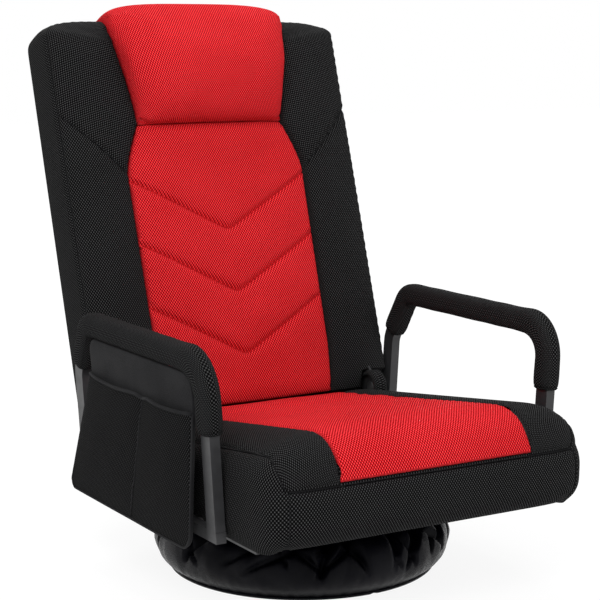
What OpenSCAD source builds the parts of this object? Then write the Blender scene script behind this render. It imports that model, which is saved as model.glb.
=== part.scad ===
// Floor gaming chair: a padded seat that swivels on a round base, with a back
// that reclines flat and folds forward on two ratchet hinges.
// Origin on the floor under the middle of the chair, +Z up, the sitter faces -Y.

/* [Overall] */
// Width of the seat cushion
seat_w = 524; // [480:1:560]
// Depth of the seat from the front seam to the crease
seat_d = 505; // [470:1:540]
// Height of the crease between seat and back above the floor
crease_h = 221; // [214:1:240]
// Length of the back from the crease to the shoulders
back_len = 636; // [600:1:700]
// Width of the back cushion
back_w = 524; // [480:1:526]
// Thickness of the back cushion
back_t = 100; // [96:1:112]
// Lean of the back from upright at rest
back_lean = 17.5; // [10:0.5:25]
// Distance of the crease behind the swivel axis
crease_back = 146; // [130:1:160]

/* [Seat cushion] */
// Height of the cushion's underside above the floor
seat_under = 136; // [130:1:142]
// Rise of the seat top from the crease to the front
seat_rise = 58; // [40:1:70]
// Length of the rolled front edge
front_roll = 80; // [60:1:95]
// Bulge of the front border
border_bulge = 12; // [6:1:16]
// Radius of the front corners seen from above
seat_corner = 52; // [40:1:60]
// Width of the red centre panel
seat_panel_w = 312; // [280:1:330]
// Thickness of the red centre panel
panel_t = 25; // [20:1:28]
// Width of the side roll
side_roll = 60; // [50:1:70]

/* [Back cushion] */
// Width of the red panel at the crease
back_panel_low_w = 298; // [270:1:310]
// Width of the red panel at its widest seam
back_panel_w = 320; // [312:1:330]
// Height of the lowest V channel on the back
chevron_low = 78; // [70:1:90]
// Step between V channels
chevron_step = 101.5; // [85:0.5:105]
// Rise of each V channel from the middle to the edge
chevron_rise = 90; // [60:1:95]
// Depth of the sewn channels
channel_deep = 5; // [3:0.5:7]
// Radius of the shoulder corners
shoulder_corner = 38; // [30:1:45]
// Radius of the cushion's top edge
shoulder_roll = 44; // [38:1:46]

/* [Headrest] */
// Height where the pillow starts on the back
pillow_low = 456; // [446:1:470]
// Width of the pillow at its lower edge
pillow_low_w = 262; // [240:1:280]
// Width of the pillow at the shoulders
pillow_top_w = 322; // [300:1:340]
// How far the pillow stands in front of the back
pillow_front = 45; // [30:1:50]
// How far the pillow stands above the shoulders
pillow_over = 25; // [15:1:30]
// Depth of the pillow's seat in the back cushion
pillow_seat = 45; // [35:1:47]

/* [Armrests] */
// Distance of the armrest loop from the middle at its foot
arm_x = 272; // [272:1:280]
// Outward lean of the armrest loops
arm_splay = 3.5; // [3:0.5:5]
// Height of the middle of the armrest above the floor
arm_h = 373; // [350:1:400]
// Distance of the front post ahead of the crease
front_post = 380; // [350:1:400]
// Distance of the rear post behind the crease
rear_post = 29; // [24:1:40]
// Tube size across the chair
arm_tube_x = 15; // [12:1:15]
// Tube size along the loop's plane
arm_tube_y = 25; // [20:1:26]
// Radius of the front bend
front_bend = 50; // [45:1:60]
// Radius of the rear bend
rear_bend = 28; // [26:1:34]
// Slant of the rear part of the loop from upright
rear_slant = 29; // [22:1:32]
// Size of the square lower bar
low_bar = 15; // [12:1:18]
// Height of the lower bar's middle above the floor
low_bar_h = 138.5; // [136:0.5:140]
// Sleeve size across the chair
sleeve_x = 31; // [28:1:32]
// Sleeve size along the loop's plane
sleeve_y = 35; // [33:1:38]
// Height of the sleeve's front end
sleeve_front_h = 280; // [262:1:290]
// Length of the sleeve down the rear slant
sleeve_rear = 58; // [40:1:60]

/* [Side pocket] */
// Height of the pouch's bottom above the floor
pouch_low = 112; // [105:1:120]
// Height of the pouch's mouth above the floor
pouch_high = 304; // [290:1:312]
// Depth of the pouch across the chair
pouch_t = 12; // [10:1:16]
// Width of the pouch along the chair
pouch_w = 352; // [300:1:360]
// Thickness of the pocket cloth
cloth_t = 1.6; // [1.2:0.1:2]
// Thickness of the padded backing
backing_t = 5; // [4:0.5:6]

/* [Base] */
// Radius of the floor ring
ring_r = 184; // [170:1:190]
// Diameter of the ring tube
ring_d = 22; // [18:1:24]
// Height of the rubber floor pads
pad_h = 6; // [4:1:8]
// Diameter of the leg tubes
leg_d = 18; // [16:1:20]
// Radius of the bend that carries each leg over the rim
leg_bend = 30; // [26:1:32]
// Thickness of the skirt cloth
skirt_t = 2; // [1.6:0.1:2.4]
// Number of gathers round the skirt
gathers = 12; // [8:4:16]
// Depth of the gathers at the neck
gather_deep = 9; // [4:0.5:10]

/* [Swivel bearing] */
// Side of the square swivel plates
plate_w = 150; // [140:1:160]
// Thickness of the swivel plates
plate_t = 4; // [3.5:0.5:5]
// Diameter of the balls
ball_d = 8; // [7:0.5:8]
// Number of balls
balls = 18; // [12:1:24]
// Radius of the ball race
race_r = 46; // [40:1:52]
// Gap between the swivel plates
plate_gap = 4; // [3.6:0.1:4.4]
// Radius of the centre rivet
rivet_r = 6; // [5:0.5:8]

/* [Steel frame] */
// Width of the seat frame tubes
rail_w = 20; // [18:1:24]
// Height of the seat frame tubes
rail_h = 25; // [24:1:27]
// Diameter of the back frame tube
back_tube = 19; // [17:1:20]
// Distance of the back frame behind the front of the back
back_tube_off = 62; // [61:1:64]
// Width of the elastic webbing
web_w = 50; // [40:1:60]
// Thickness of the elastic webbing
web_t = 2; // [1.5:0.5:2]
// Radius of the ratchet housing of each hinge
hinge_r = 22; // [20:1:24]
// Thickness of the hinge plates
hinge_t = 4; // [3:0.5:4.5]
// Radius of the hinge rivet
pin_r = 5; // [4:0.5:6]

/* [Hidden] */

// Clearances
seat_gap = 0.3;
soft_gap = 1;
run_gap = 0.05;

// Heights and places that follow from the sizes above
lean_s = sin(back_lean);
lean_c = cos(back_lean);
back_reach = (back_len - shoulder_roll) * lean_s + back_t * lean_c;
hinge_y = round((seat_d + border_bulge - back_reach) / 2);
swivel_y = hinge_y - crease_back;
frame_low = low_bar_h - rail_h / 2;
frame_top = frame_low + rail_h;
upper_plate_z = frame_low - plate_t;
lower_plate_z = upper_plate_z - plate_gap - plate_t;
ball_z = upper_plate_z - plate_gap / 2;
hub_t = 4;
hub_z = lower_plate_z - hub_t;
ring_z = pad_h + ring_d / 2;
rim_z = ring_z + leg_bend;
cross_z = rim_z + leg_bend;
rail_x = seat_w / 2 - 14;
rail_front = seat_d - 60;
rail_back = 12;
bar_step = 62;
bolt_r = 4;
bolt_gap = 0.3;
small_r = 3;
drill = 40;

// A point on a circle
function polar(r, a) = [r * cos(a), r * sin(a)];

// Triangles that close a ring that isn't flat, by pairs of points from its two sides
function strip_cap(n, base, up) =
    [for (i = [0 : ceil(n / 2) - 2])
        let (a = base + i, b = a + 1, c = base + n - 1 - i, d = c - 1)
        each [for (t = concat([[a, b, c]], b < d ? [[b, d, c]] : [])) up ? [t[0], t[2], t[1]] : t]];

// Joins a list of closed rings of points, with flat ends or strips of triangles
module loft(rings, strips = false) {
    n = len(rings[0]);
    m = len(rings);
    sides = [for (i = [0 : m - 2], j = [0 : n - 1])
        let (a = i * n + j, b = i * n + (j + 1) % n)
        each [[a, a + n, b], [b, a + n, b + n]]];
    low = strips ? strip_cap(n, 0, false) : [[for (j = [0 : n - 1]) j]];
    high = strips ? strip_cap(n, (m - 1) * n, true) : [[for (j = [n - 1 : -1 : 0]) (m - 1) * n + j]];
    polyhedron([for (ring = rings) each ring], concat(low, sides, high), convexity = 8);
}

// Joins rings of points round a full circle, the last to the first
module loop_loft(rings) {
    n = len(rings[0]);
    m = len(rings);
    sides = [for (i = [0 : m - 1], j = [0 : n - 1])
        let (a = i * n + j, b = i * n + (j + 1) % n,
             c = ((i + 1) % m) * n + j, d = ((i + 1) % m) * n + (j + 1) % n)
        each [[a, c, b], [b, c, d]]];
    polyhedron([for (ring = rings) each ring], sides, convexity = 8);
}

// A flat plate with its corners cut off
module cut_plate(w, d, h, c) {
    linear_extrude(h) polygon([
        [-w / 2 + c, -d / 2], [w / 2 - c, -d / 2], [w / 2, -d / 2 + c], [w / 2, d / 2 - c],
        [w / 2 - c, d / 2], [-w / 2 + c, d / 2], [-w / 2, d / 2 - c], [-w / 2, -d / 2 + c]
    ]);
}

// Base

module at_swivel() {
    translate([0, swivel_y, 0]) children();
}

riser_r = 32;
riser_t = 4;

// Each leg rises from the ring in a half circle and runs level to the middle
module leg() {
    translate([ring_r, 0, rim_z]) rotate([90, 0, 0]) rotate([0, 0, -90])
        rotate_extrude(angle = 180, $fn = 96)
            translate([leg_bend, 0]) circle(d = leg_d, $fn = 32);
    translate([0, 0, cross_z]) rotate([0, 90, 0]) cylinder(d = leg_d, h = ring_r, $fn = 32);
}

module corner_spots() {
    for (x = [-bar_step, bar_step], y = [-bar_step, bar_step])
        translate([x, y, 0]) children();
}

module base_frame() {
    color("dimgray") at_swivel() difference() {
        union() {
            translate([0, 0, ring_z]) rotate_extrude($fn = 96)
                translate([ring_r, 0]) circle(d = ring_d, $fn = 32);
            for (a = [0, 90, 180, 270]) rotate([0, 0, a]) leg();
            translate([0, 0, cross_z]) difference() {
                cylinder(r = riser_r, h = hub_z - cross_z + hub_t / 2, $fn = 64);
                translate([0, 0, leg_d / 2 + 1]) cylinder(r = riser_r - riser_t, h = hub_z, $fn = 64);
            }
            translate([0, 0, hub_z]) cut_plate(plate_w, plate_w, hub_t, 12);
        }
        corner_spots() translate([0, 0, hub_z - 1])
            cylinder(r = bolt_r + bolt_gap, h = hub_t + 2, $fn = 32);
    }
}

pad_w = 18;
pad_grip = 2.5;
pad_arc = 18;

module floor_pads() {
    color("black") at_swivel() for (a = [0 : 60 : 300]) rotate([0, 0, a - pad_arc / 2])
        rotate_extrude(angle = pad_arc, $fn = 96) difference() {
            translate([ring_r - pad_w / 2, 0]) square([pad_w, pad_h + pad_grip]);
            translate([ring_r, ring_z]) circle(d = ring_d + 2 * seat_gap, $fn = 48);
        }
}

race_wall = ball_d / 2 + run_gap;

module race_cut() {
    translate([0, 0, ball_z]) rotate_extrude($fn = 96)
        translate([race_r, 0]) circle(r = race_wall, $fn = 48);
}

rivet_flange = 3;
flange_t = 1.5;
screw_head_r = 7.5;
screw_head_h = 3.4;

module lower_swivel_plate() {
    color("silver") at_swivel() difference() {
        translate([0, 0, lower_plate_z]) cut_plate(plate_w, plate_w, plate_t, 12);
        race_cut();
        translate([0, 0, lower_plate_z - 1])
            cylinder(r = rivet_r + run_gap, h = plate_t + 2, $fn = 48);
        translate([0, 0, lower_plate_z - 1])
            cylinder(r = rivet_r + rivet_flange + 0.1, h = flange_t + 1.1, $fn = 48);
        corner_spots() {
            translate([0, 0, lower_plate_z - 1])
                cylinder(r = bolt_r + bolt_gap, h = plate_t + 2, $fn = 32);
            translate([0, 0, lower_plate_z + plate_t - screw_head_h - 0.2])
                cylinder(r1 = bolt_r + bolt_gap, r2 = screw_head_r + bolt_gap + 0.4,
                         h = screw_head_h + 0.3, $fn = 32);
        }
    }
}

module upper_swivel_plate() {
    color("silver") at_swivel() difference() {
        translate([0, 0, upper_plate_z]) cut_plate(plate_w, plate_w, plate_t, 12);
        race_cut();
        translate([0, 0, upper_plate_z - 1])
            cylinder(r = rivet_r + run_gap, h = plate_t + 2, $fn = 48);
        corner_spots() translate([0, 0, upper_plate_z - 1])
            cylinder(r = bolt_r + bolt_gap, h = plate_t + 2, $fn = 32);
    }
}

module ball_spots() {
    for (i = [0 : balls - 1]) rotate([0, 0, i * 360 / balls])
        translate([race_r, 0, 0]) children();
}

module swivel_balls() {
    color("gainsboro") at_swivel() ball_spots()
        translate([0, 0, ball_z]) sphere(d = ball_d, $fn = 32);
}

cage_w = 16;
cage_t = 1.6;
cage_gap = 0.25;

module ball_cage() {
    color("white") at_swivel() translate([0, 0, lower_plate_z + plate_t + seat_gap]) difference() {
        cylinder(r = race_r + cage_w / 2, h = cage_t, $fn = 96);
        translate([0, 0, -1]) cylinder(r = race_r - cage_w / 2, h = cage_t + 2, $fn = 96);
        ball_spots() translate([0, 0, -1])
            cylinder(r = ball_d / 2 + cage_gap, h = cage_t + 2, $fn = 32);
    }
}

washer_t = 1;
washer_lift = 0.1;
head_t = 3;

module swivel_rivet() {
    color("gray") at_swivel() {
        translate([0, 0, lower_plate_z]) cylinder(r = rivet_r + rivet_flange, h = flange_t, $fn = 48);
        translate([0, 0, lower_plate_z])
            cylinder(r = rivet_r, h = frame_low + washer_t + head_t - lower_plate_z, $fn = 48);
        translate([0, 0, frame_low + washer_lift * 2 + washer_t])
            cylinder(r = rivet_r + 4, h = head_t - washer_lift * 2, $fn = 48);
    }
}

module rivet_washer() {
    color("silver") at_swivel() translate([0, 0, frame_low + washer_lift]) difference() {
        cylinder(r = rivet_r + 6, h = washer_t, $fn = 48);
        translate([0, 0, -1]) cylinder(r = rivet_r + 0.1, h = washer_t + 2, $fn = 48);
    }
}

nut_h = 6;

module base_bolts() {
    color("gray") at_swivel() corner_spots() {
        translate([0, 0, lower_plate_z + plate_t - screw_head_h - 0.2])
            cylinder(r1 = bolt_r, r2 = screw_head_r, h = screw_head_h, $fn = 32);
        translate([0, 0, hub_z - nut_h - 2])
            cylinder(r = bolt_r, h = hub_t + plate_t + nut_h + 2 - screw_head_h, $fn = 32);
        translate([0, 0, hub_z - nut_h]) cylinder(r = 7, h = nut_h, $fn = 6);
    }
}

// Skirt: a cloth tube from the hem near the floor over the legs to the neck

neck_r = 112;
neck_h = 6;
hem_h = 3;
skirt_in = leg_bend + leg_d / 2 + 1.7;
rim_steps = [-65, -35, -5, 25, 50];
neck_low = lower_plate_z + 0.5;
neck_from = [neck_r - ring_r, neck_low - rim_z];
cloth_turn = atan2(neck_from[1], neck_from[0]) - acos(skirt_in / norm(neck_from));
band_t = 1.6;

// Points of the cloth from hem to neck, at one side of the cloth
function skirt_side(off) =
    let (c = [ring_r, rim_z],
         top = c + polar(skirt_in + off, cloth_turn),
         neck = [neck_r + off, neck_low + off])
    concat(
        [[c[0] + (skirt_in + off) * cos(65) - 2, hem_h]],
        [for (a = rim_steps) c + polar(skirt_in + off, a)],
        [top, (top + neck) / 2 + polar(1, cloth_turn), neck, [neck_r + off, neck_low + skirt_t + neck_h]]
    );

// Share of the gather's depth at each point from hem to neck
gather_share = [0, 0, 0, 0, 0.2, 0.55, 0.9, 1, 0, 0];
gather_steps = 4;

function gathered(points, a) =
    [for (i = [0 : len(points) - 1])
        let (dip = gather_deep * gather_share[i] * (1 - cos(gathers * a)) / 2,
             rise = min(1, max(0, (points[i][1] - rim_z) / leg_bend)),
             r = points[i][0] - dip * (1 - rise),
             z = points[i][1] - dip * rise)
        [r * cos(a), r * sin(a), z]];

function reversed(list) = [for (i = [len(list) - 1 : -1 : 0]) list[i]];

module base_skirt() {
    count = gathers * gather_steps;
    color([0.05, 0.05, 0.08]) at_swivel()
        loop_loft([for (i = [0 : count - 1])
            let (a = -i * 360 / count)
            concat(gathered(skirt_side(skirt_t), a), reversed(gathered(skirt_side(0), a)))]);
}

module skirt_band() {
    color("black") at_swivel() translate([0, 0, neck_low + skirt_t + 1]) difference() {
        cylinder(r = neck_r + skirt_t + seat_gap + band_t, h = neck_h - 1.5, $fn = 96);
        translate([0, 0, -1]) cylinder(r = neck_r + skirt_t + seat_gap, h = neck_h + 2, $fn = 96);
    }
}

// Seat frame

module at_crease() {
    translate([0, hinge_y, 0]) children();
}

module at_seat_bolts() {
    translate([0, -crease_back, 0]) corner_spots() children();
}

arm_bolt_in = 70;
arm_bolt_step = 25;
arm_bolt_rear = 36;
arm_bolt_front = front_post - arm_bolt_in;
arm_bolt_y = [arm_bolt_front, arm_bolt_front - arm_bolt_step, crease_back - arm_bolt_rear];
hinge_bolt_y = [26, 56];

module across(x, y, z) {
    translate([x, y, z]) rotate([0, 90, 0]) children();
}

module seat_frame() {
    length = rail_front - rail_back;
    color("dimgray") at_crease() difference() {
        union() {
            for (s = [-1, 1]) translate([s * (rail_x - rail_w / 2) - rail_w / 2, -rail_front, frame_low])
                cube([rail_w, length, rail_h]);
            for (y = [-rail_front + rail_w / 2, -crease_back - bar_step, -crease_back + bar_step])
                translate([-rail_x + rail_w / 2, y - rail_w / 2, frame_low])
                    cube([2 * rail_x - rail_w, rail_w, rail_h]);
        }
        at_seat_bolts() translate([0, 0, frame_low - 1])
            cylinder(r = bolt_r + bolt_gap, h = rail_h + 2, $fn = 32);
        for (s = [-1, 1]) {
            for (y = arm_bolt_y) across(s * (rail_x - rail_w / 2) - rail_w, -y, low_bar_h)
                cylinder(r = small_r + bolt_gap, h = 2 * rail_w, $fn = 24);
            for (y = hinge_bolt_y) across(s * (rail_x - rail_w / 2) - rail_w, -y, low_bar_h)
                cylinder(r = small_r + bolt_gap, h = 2 * rail_w, $fn = 24);
        }
    }
}

module swivel_bolts() {
    color("gray") at_crease() at_seat_bolts() {
        translate([0, 0, frame_top]) cylinder(r = 7, h = 5, $fn = 6);
        translate([0, 0, upper_plate_z + 0.2])
            cylinder(r = bolt_r, h = frame_top - upper_plate_z, $fn = 32);
    }
}

strap_lift = 0.2;
strap_first = rail_front - rail_w - web_w / 2 - 5;
strap_last = crease_back + bar_step + rail_w + web_w / 2 + 12;
seat_straps = [strap_first, (strap_first + strap_last) / 2, strap_last, crease_back];

module seat_webbing() {
    color("black") at_crease() for (y = seat_straps)
        translate([-rail_x + 2, -y - web_w / 2, frame_top + strap_lift])
            cube([2 * rail_x - 4, web_w, web_t]);
}

cover_t = 1.2;
cover_hole = 20;

module dust_cover() {
    color("black") at_crease() difference() {
        translate([-rail_x + 4, -rail_front + 4, frame_low - seat_gap - cover_t])
            cube([2 * rail_x - 8, rail_front - rail_back - 8, cover_t]);
        translate([-plate_w / 2 - cover_hole / 2, -crease_back - plate_w / 2 - cover_hole / 2, 0])
            cube([plate_w + cover_hole, plate_w + cover_hole, frame_low + 10]);
    }
}

// Seat cushion: sections across the chair, from the crease to the front border
// u is the distance ahead of the crease

roll_start = seat_d - front_roll;
seam_h = crease_h - 1;
under_roll = 44;
side_under = 30;

function seat_top(u) = u <= roll_start
    ? crease_h + seat_rise * u / roll_start - 8 * pow(max(0, 1 - u / 22), 2)
    : u <= seat_d
        ? seam_h + (seat_rise + 1) * sqrt(max(0, 1 - pow((u - roll_start) / front_roll, 2)))
        : seam_h - 26 * (1 - sqrt(max(0, 1 - pow((u - seat_d) / border_bulge, 2))));

function seat_bottom(u) =
    let (from = seat_d + border_bulge - under_roll)
    u <= from ? seat_under
        : seat_under + under_roll * (1 - sqrt(max(0, 1 - pow((u - from) / under_roll, 2))));

function seat_half(u) =
    let (from = seat_d - seat_corner)
    u <= from ? seat_w / 2
        : u <= seat_d ? seat_w / 2 - seat_corner + sqrt(max(0, pow(seat_corner, 2) - pow(u - from, 2)))
        : seat_w / 2 - seat_corner - 1.5 * (u - seat_d);

function panel_sink(u) =
    u > seat_d ? 0.2 : panel_t - (panel_t - 4) * pow(min(1, max(0, (u - roll_start) / front_roll)), 2);

function seat_section(u) =
    let (w = seat_half(u), top = seat_top(u), low = seat_bottom(u), tall = top - low,
         seam = low + 0.6 * tall, rx = min(side_roll, w - seat_panel_w / 2 - 4),
         r = min(side_under, 0.4 * tall), side_top = top - 8 * (u > seat_d ? 0 : 1),
         half = [
            [w - 60, low],
            [w - r, low],
            [w - r * 0.5, low + r * 0.134],
            [w - r * 0.134, low + r * 0.5],
            [w, low + r],
            [w + 1, (low + r + seam) / 2],
            [w - 1, seam],
            [w - rx * 0.076, seam + (side_top - seam) * 0.383],
            [w - rx * 0.293, seam + (side_top - seam) * 0.707],
            [w - rx * 0.617, seam + (side_top - seam) * 0.924],
            [w - rx, side_top],
            [seat_panel_w / 2, top - 1],
            [seat_panel_w / 2, top - 1 - panel_sink(u)]
         ])
    concat([for (p = half) [p[0], -u, p[1]]], [for (p = reversed(half)) [-p[0], -u, p[1]]]);

seat_steps = [0.5, 5, 12, 22, 45, 90, 140, 190, 240, 290, 340, 390, roll_start];
roll_steps = [0.25, 0.45, 0.62, 0.77, 0.88, 0.96, 1];
bulge_steps = [0.3, 0.65, 0.9, 0.99];
seat_stations = concat(
    seat_steps,
    [for (t = roll_steps) roll_start + t * front_roll],
    [for (t = bulge_steps) seat_d + t * border_bulge]
);

// Extrudes a side outline drawn in Y and Z to a plate between two distances from the middle
module side_plate(side, from, to) {
    translate([side > 0 ? from : -to, 0, 0])
        rotate([90, 0, 90]) linear_extrude(to - from) children();
}

slot_gap = 0.5;
plate_gap_x = 0.2;
seat_plate_x = rail_x - rail_w - hinge_t;
back_plate_x = seat_plate_x - plate_gap_x - hinge_t;
rivet_head_t = 2;

// The hinge's seat plate: an arm up from the rail and a round end about the axis
module hinge_seat_shape(side, from, to, grow) {
    side_plate(side, from, to) polygon([
        [-66 - grow, frame_low + 2 - grow], [-66 - grow, frame_top - 2 + grow],
        [-hinge_r + 2 - grow, crease_h - 9 + grow], [0, crease_h],
        [-3 + grow, crease_h - 22], [-16 + grow, frame_low + 2 - grow]
    ]);
    side_plate(side, from, to) translate([0, crease_h]) circle(r = hinge_r + grow, $fn = 64);
}

// Room for the hinge's discs and rivet inside the cushions
module hinge_room(side) {
    side_plate(side, back_plate_x - rivet_head_t - 1, rail_x - rail_w + rivet_head_t + 1)
        translate([0, crease_h]) circle(r = hinge_r + 3, $fn = 64);
}

module seat_cushion() {
    color([0.09, 0.09, 0.1]) at_crease() difference() {
        loft([for (u = seat_stations) seat_section(u)]);
        translate([-rail_x - slot_gap, -rail_front - slot_gap, 0])
            cube([2 * rail_x + 2 * slot_gap, rail_front - rail_back + 2 * slot_gap, frame_top + 5.5]);
        for (s = [-1, 1]) {
            hinge_seat_shape(s, seat_plate_x - slot_gap, seat_plate_x + hinge_t + slot_gap, slot_gap);
            hinge_room(s);
            for (y = arm_bolt_y) across(s > 0 ? rail_x - 10 : -rail_x - drill + 10, -y, low_bar_h)
                cylinder(r = spacer_r + 1, h = drill, $fn = 32);
            for (y = hinge_bolt_y) across(s > 0 ? rail_x - 2 : -rail_x - 3, -y, low_bar_h)
                cylinder(r = spacer_r, h = 5, $fn = 32);
        }
    }
}

panel_across = [-1, -0.85, -0.6, -0.3, 0, 0.3, 0.6, 0.85, 1];
crease_lines = [96, 182];
panel_crown = 7;
pinch = 110;

function seat_dent(u) = max([for (c = crease_lines) 4 * exp(-pow((u - c) / 9, 2))]);

function seat_panel_section(u) =
    let (w = seat_panel_w / 2 - seat_gap, top = seat_top(u) - 1,
         floor = top - panel_sink(u) + soft_gap,
         crown = panel_crown
            * (u < roll_start ? min(1, u / pinch) : max(0, 1 - (u - roll_start) / front_roll)))
    concat(
        [[w, -u, floor]],
        [for (t = reversed(panel_across))
            [w * t, -u, top + crown * (1 - pow(t, 2)) - (1 - pow(t, 4)) * seat_dent(u)]],
        [[-w, -u, floor]]
    );

panel_steps = [1, 8, 22, 50, 80, 96, 112, 140, 166, 182, 198, 240, 290, 340, 390, roll_start];

module seat_panel() {
    color([0.8, 0.08, 0.12]) at_crease()
        loft([for (u = concat(panel_steps, [for (t = roll_steps) roll_start + t * front_roll - seat_gap]))
            seat_panel_section(u)]);
}

// Hinges

module hinge_seat_plate(side) {
    color("dimgray") at_crease() difference() {
        hinge_seat_shape(side, seat_plate_x, seat_plate_x + hinge_t, 0);
        across(side * seat_plate_x - drill / 2, 0, crease_h)
            cylinder(r = pin_r + run_gap, h = drill, $fn = 48);
        for (y = hinge_bolt_y) across(side * seat_plate_x - drill / 2, -y, low_bar_h)
            cylinder(r = small_r + bolt_gap, h = drill, $fn = 24);
    }
}

module hinge_seat_plate_left() { hinge_seat_plate(1); }
module hinge_seat_plate_right() { hinge_seat_plate(-1); }

// A fastener along X: a head, a shank and a tail, from the outer face inwards
module cross_rivet(side, face, grip, r, head_r, head, tail) {
    translate([side * face, 0, 0]) rotate([0, -side * 90, 0]) {
        translate([0, 0, -head]) cylinder(r = head_r, h = head, $fn = 32);
        cylinder(r = r, h = grip + tail, $fn = 32);
        translate([0, 0, grip]) cylinder(r = head_r, h = tail, $fn = 32);
    }
}

module hinge_rivets() {
    color("silver") at_crease() for (s = [-1, 1]) translate([0, 0, crease_h])
        cross_rivet(s, rail_x - rail_w + 0.1, 2 * hinge_t + plate_gap_x + 0.2, pin_r, pin_r + 3.5,
                    rivet_head_t, rivet_head_t);
}

module hinge_seat_bolts() {
    color("silver") at_crease() for (s = [-1, 1], y = hinge_bolt_y)
        translate([0, -y, low_bar_h])
            cross_rivet(s, rail_x, hinge_t + rail_w, small_r, 6, 2, 4);
}

// Armrests

arm_top = (arm_h - low_bar_h) / cos(arm_splay);
turn = 90 - rear_slant;
slant_run = 43;
corner_y = rear_post - slant_run;
lower_bend = 40;
rear_tangent = rear_bend * tan(turn / 2);
lower_tangent = lower_bend * tan(rear_slant / 2);
knee_z = arm_top - slant_run / tan(rear_slant);
bend_f = [-front_post + front_bend, arm_top - front_bend];
bend_r = [corner_y - rear_tangent, arm_top - rear_bend];
bend_k = [rear_post - lower_bend, knee_z - lower_tangent];
slant_from = bend_r + polar(rear_bend, rear_slant);
slant_to = bend_k + polar(lower_bend, rear_slant);

// The loop's line in Y and Z, moved outwards by an offset
function loop_line(off) = concat(
    [[-front_post - off, 0]],
    [for (a = [180 : -7.5 : 90]) bend_f + polar(front_bend + off, a)],
    [for (i = [0 : 8]) bend_r + polar(rear_bend + off, 90 - turn * i / 8)],
    [for (i = [0 : 4]) bend_k + polar(lower_bend + off, rear_slant * (1 - i / 4))],
    [[rear_post + off, 0]]
);

weld = 1;

module on_arm(side) {
    at_crease() translate([side * arm_x, 0, low_bar_h]) rotate([0, side * arm_splay, 0]) children();
}

module arm_frame(side) {
    color([0.16, 0.16, 0.17]) difference() {
        union() {
            on_arm(side) side_plate(1, -arm_tube_x / 2, arm_tube_x / 2)
                polygon(concat(loop_line(arm_tube_y / 2), reversed(loop_line(-arm_tube_y / 2))));
            at_crease() translate([side * arm_x - low_bar / 2, -front_post - arm_tube_y / 2 - weld,
                                   low_bar_h - low_bar / 2])
                cube([low_bar, front_post + rear_post + arm_tube_y + 2 * weld, low_bar]);
        }
        at_crease() for (y = arm_bolt_y) across(side * arm_x - drill / 2, -y, low_bar_h)
            cylinder(r = small_r + bolt_gap, h = drill, $fn = 24);
    }
}

module arm_frame_left() { arm_frame(1); }
module arm_frame_right() { arm_frame(-1); }

sleeve_round = 13;

slant_stop = slant_from + sleeve_rear * [sin(rear_slant), -cos(rear_slant)];

// Places along the sleeve: a point of the loop's line and the angle of its outward side
sleeve_stops = concat(
    [[[-front_post, (sleeve_front_h - low_bar_h) / cos(arm_splay)], 180]],
    [for (a = [180 : -15 : 90]) [bend_f + polar(front_bend, a), a]],
    [for (i = [0 : 4]) [bend_r + polar(rear_bend, 90 - turn * i / 4), 90 - turn * i / 4]],
    [[slant_stop, rear_slant]]
);

// A rectangle with rounded corners at one place along the sleeve
function sleeve_ring(stop, w, d, r, step) =
    [for (q = [0 : 3], a = [0 : step : 89])
        let (sx = q == 0 || q == 3 ? 1 : -1, sy = q < 2 ? 1 : -1,
             p = [sx * (w / 2 - r), sy * (d / 2 - r)] + polar(r, q * 90 + a + (step == 90 ? 45 : step / 2)),
             m = stop[0] + polar(p[1], stop[1]))
        [p[0], m[0], m[1]]];

// A tube of rings with a bore of four-cornered rings
module bored_loft(outer, inner) {
    n = len(outer[0]);
    m = len(outer);
    k = n / 4;
    base = n * m;
    skin = [for (i = [0 : m - 2], j = [0 : n - 1])
        let (a = i * n + j, b = i * n + (j + 1) % n)
        each [[a, b, a + n], [b, b + n, a + n]]];
    bore = [for (i = [0 : m - 2], j = [0 : 3])
        let (a = base + i * 4 + j, b = base + i * 4 + (j + 1) % 4)
        each [[a, a + 4, b], [b, a + 4, b + 4]]];
    ends = [for (e = [0, m - 1], q = [0 : 3])
        let (o = e * n + q * k, c = base + e * 4 + q, d = base + e * 4 + (q + 1) % 4,
             next = e * n + (q * k + k) % n,
             fan = concat([for (j = [0 : k - 2]) [o + j, c, o + j + 1]],
                          [[o + k - 1, c, next], [c, d, next]]))
        each [for (t = fan) e == 0 ? t : [t[0], t[2], t[1]]]];
    polyhedron(concat([for (r = outer) each r], [for (r = inner) each r]),
               concat(skin, bore, ends), convexity = 8);
}

module arm_sleeve(side) {
    color([0.1, 0.1, 0.1]) on_arm(side) bored_loft(
        [for (p = sleeve_stops) sleeve_ring(p, sleeve_x, sleeve_y, sleeve_round, 18)],
        [for (p = sleeve_stops)
            sleeve_ring(p, arm_tube_x + 2 * soft_gap, arm_tube_y + 2 * soft_gap, 0, 90)]
    );
}

module arm_sleeve_left() { arm_sleeve(1); }
module arm_sleeve_right() { arm_sleeve(-1); }

spacer_r = 7;
spacer_len = arm_x - low_bar / 2 - rail_x;

module arm_spacers() {
    color("gray") at_crease() for (s = [-1, 1], y = arm_bolt_y)
        across(s > 0 ? rail_x : -rail_x - spacer_len, -y, low_bar_h) difference() {
            cylinder(r = spacer_r, h = spacer_len, $fn = 32);
            translate([0, 0, -1]) cylinder(r = small_r + bolt_gap, h = spacer_len + 2, $fn = 32);
        }
}

module arm_bolts() {
    color("gray") at_crease() for (s = [-1, 1], y = arm_bolt_y) translate([0, -y, low_bar_h])
        cross_rivet(s, arm_x + low_bar / 2, low_bar + spacer_len + rail_w, small_r, 5.5, 3.5, 5);
}

// Side pocket

pocket_x = 290;
pouch_front = front_post - 20;
pouch_corner_f = 24;
pouch_corner_r = 14;
pouch_lean = 48;

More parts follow.
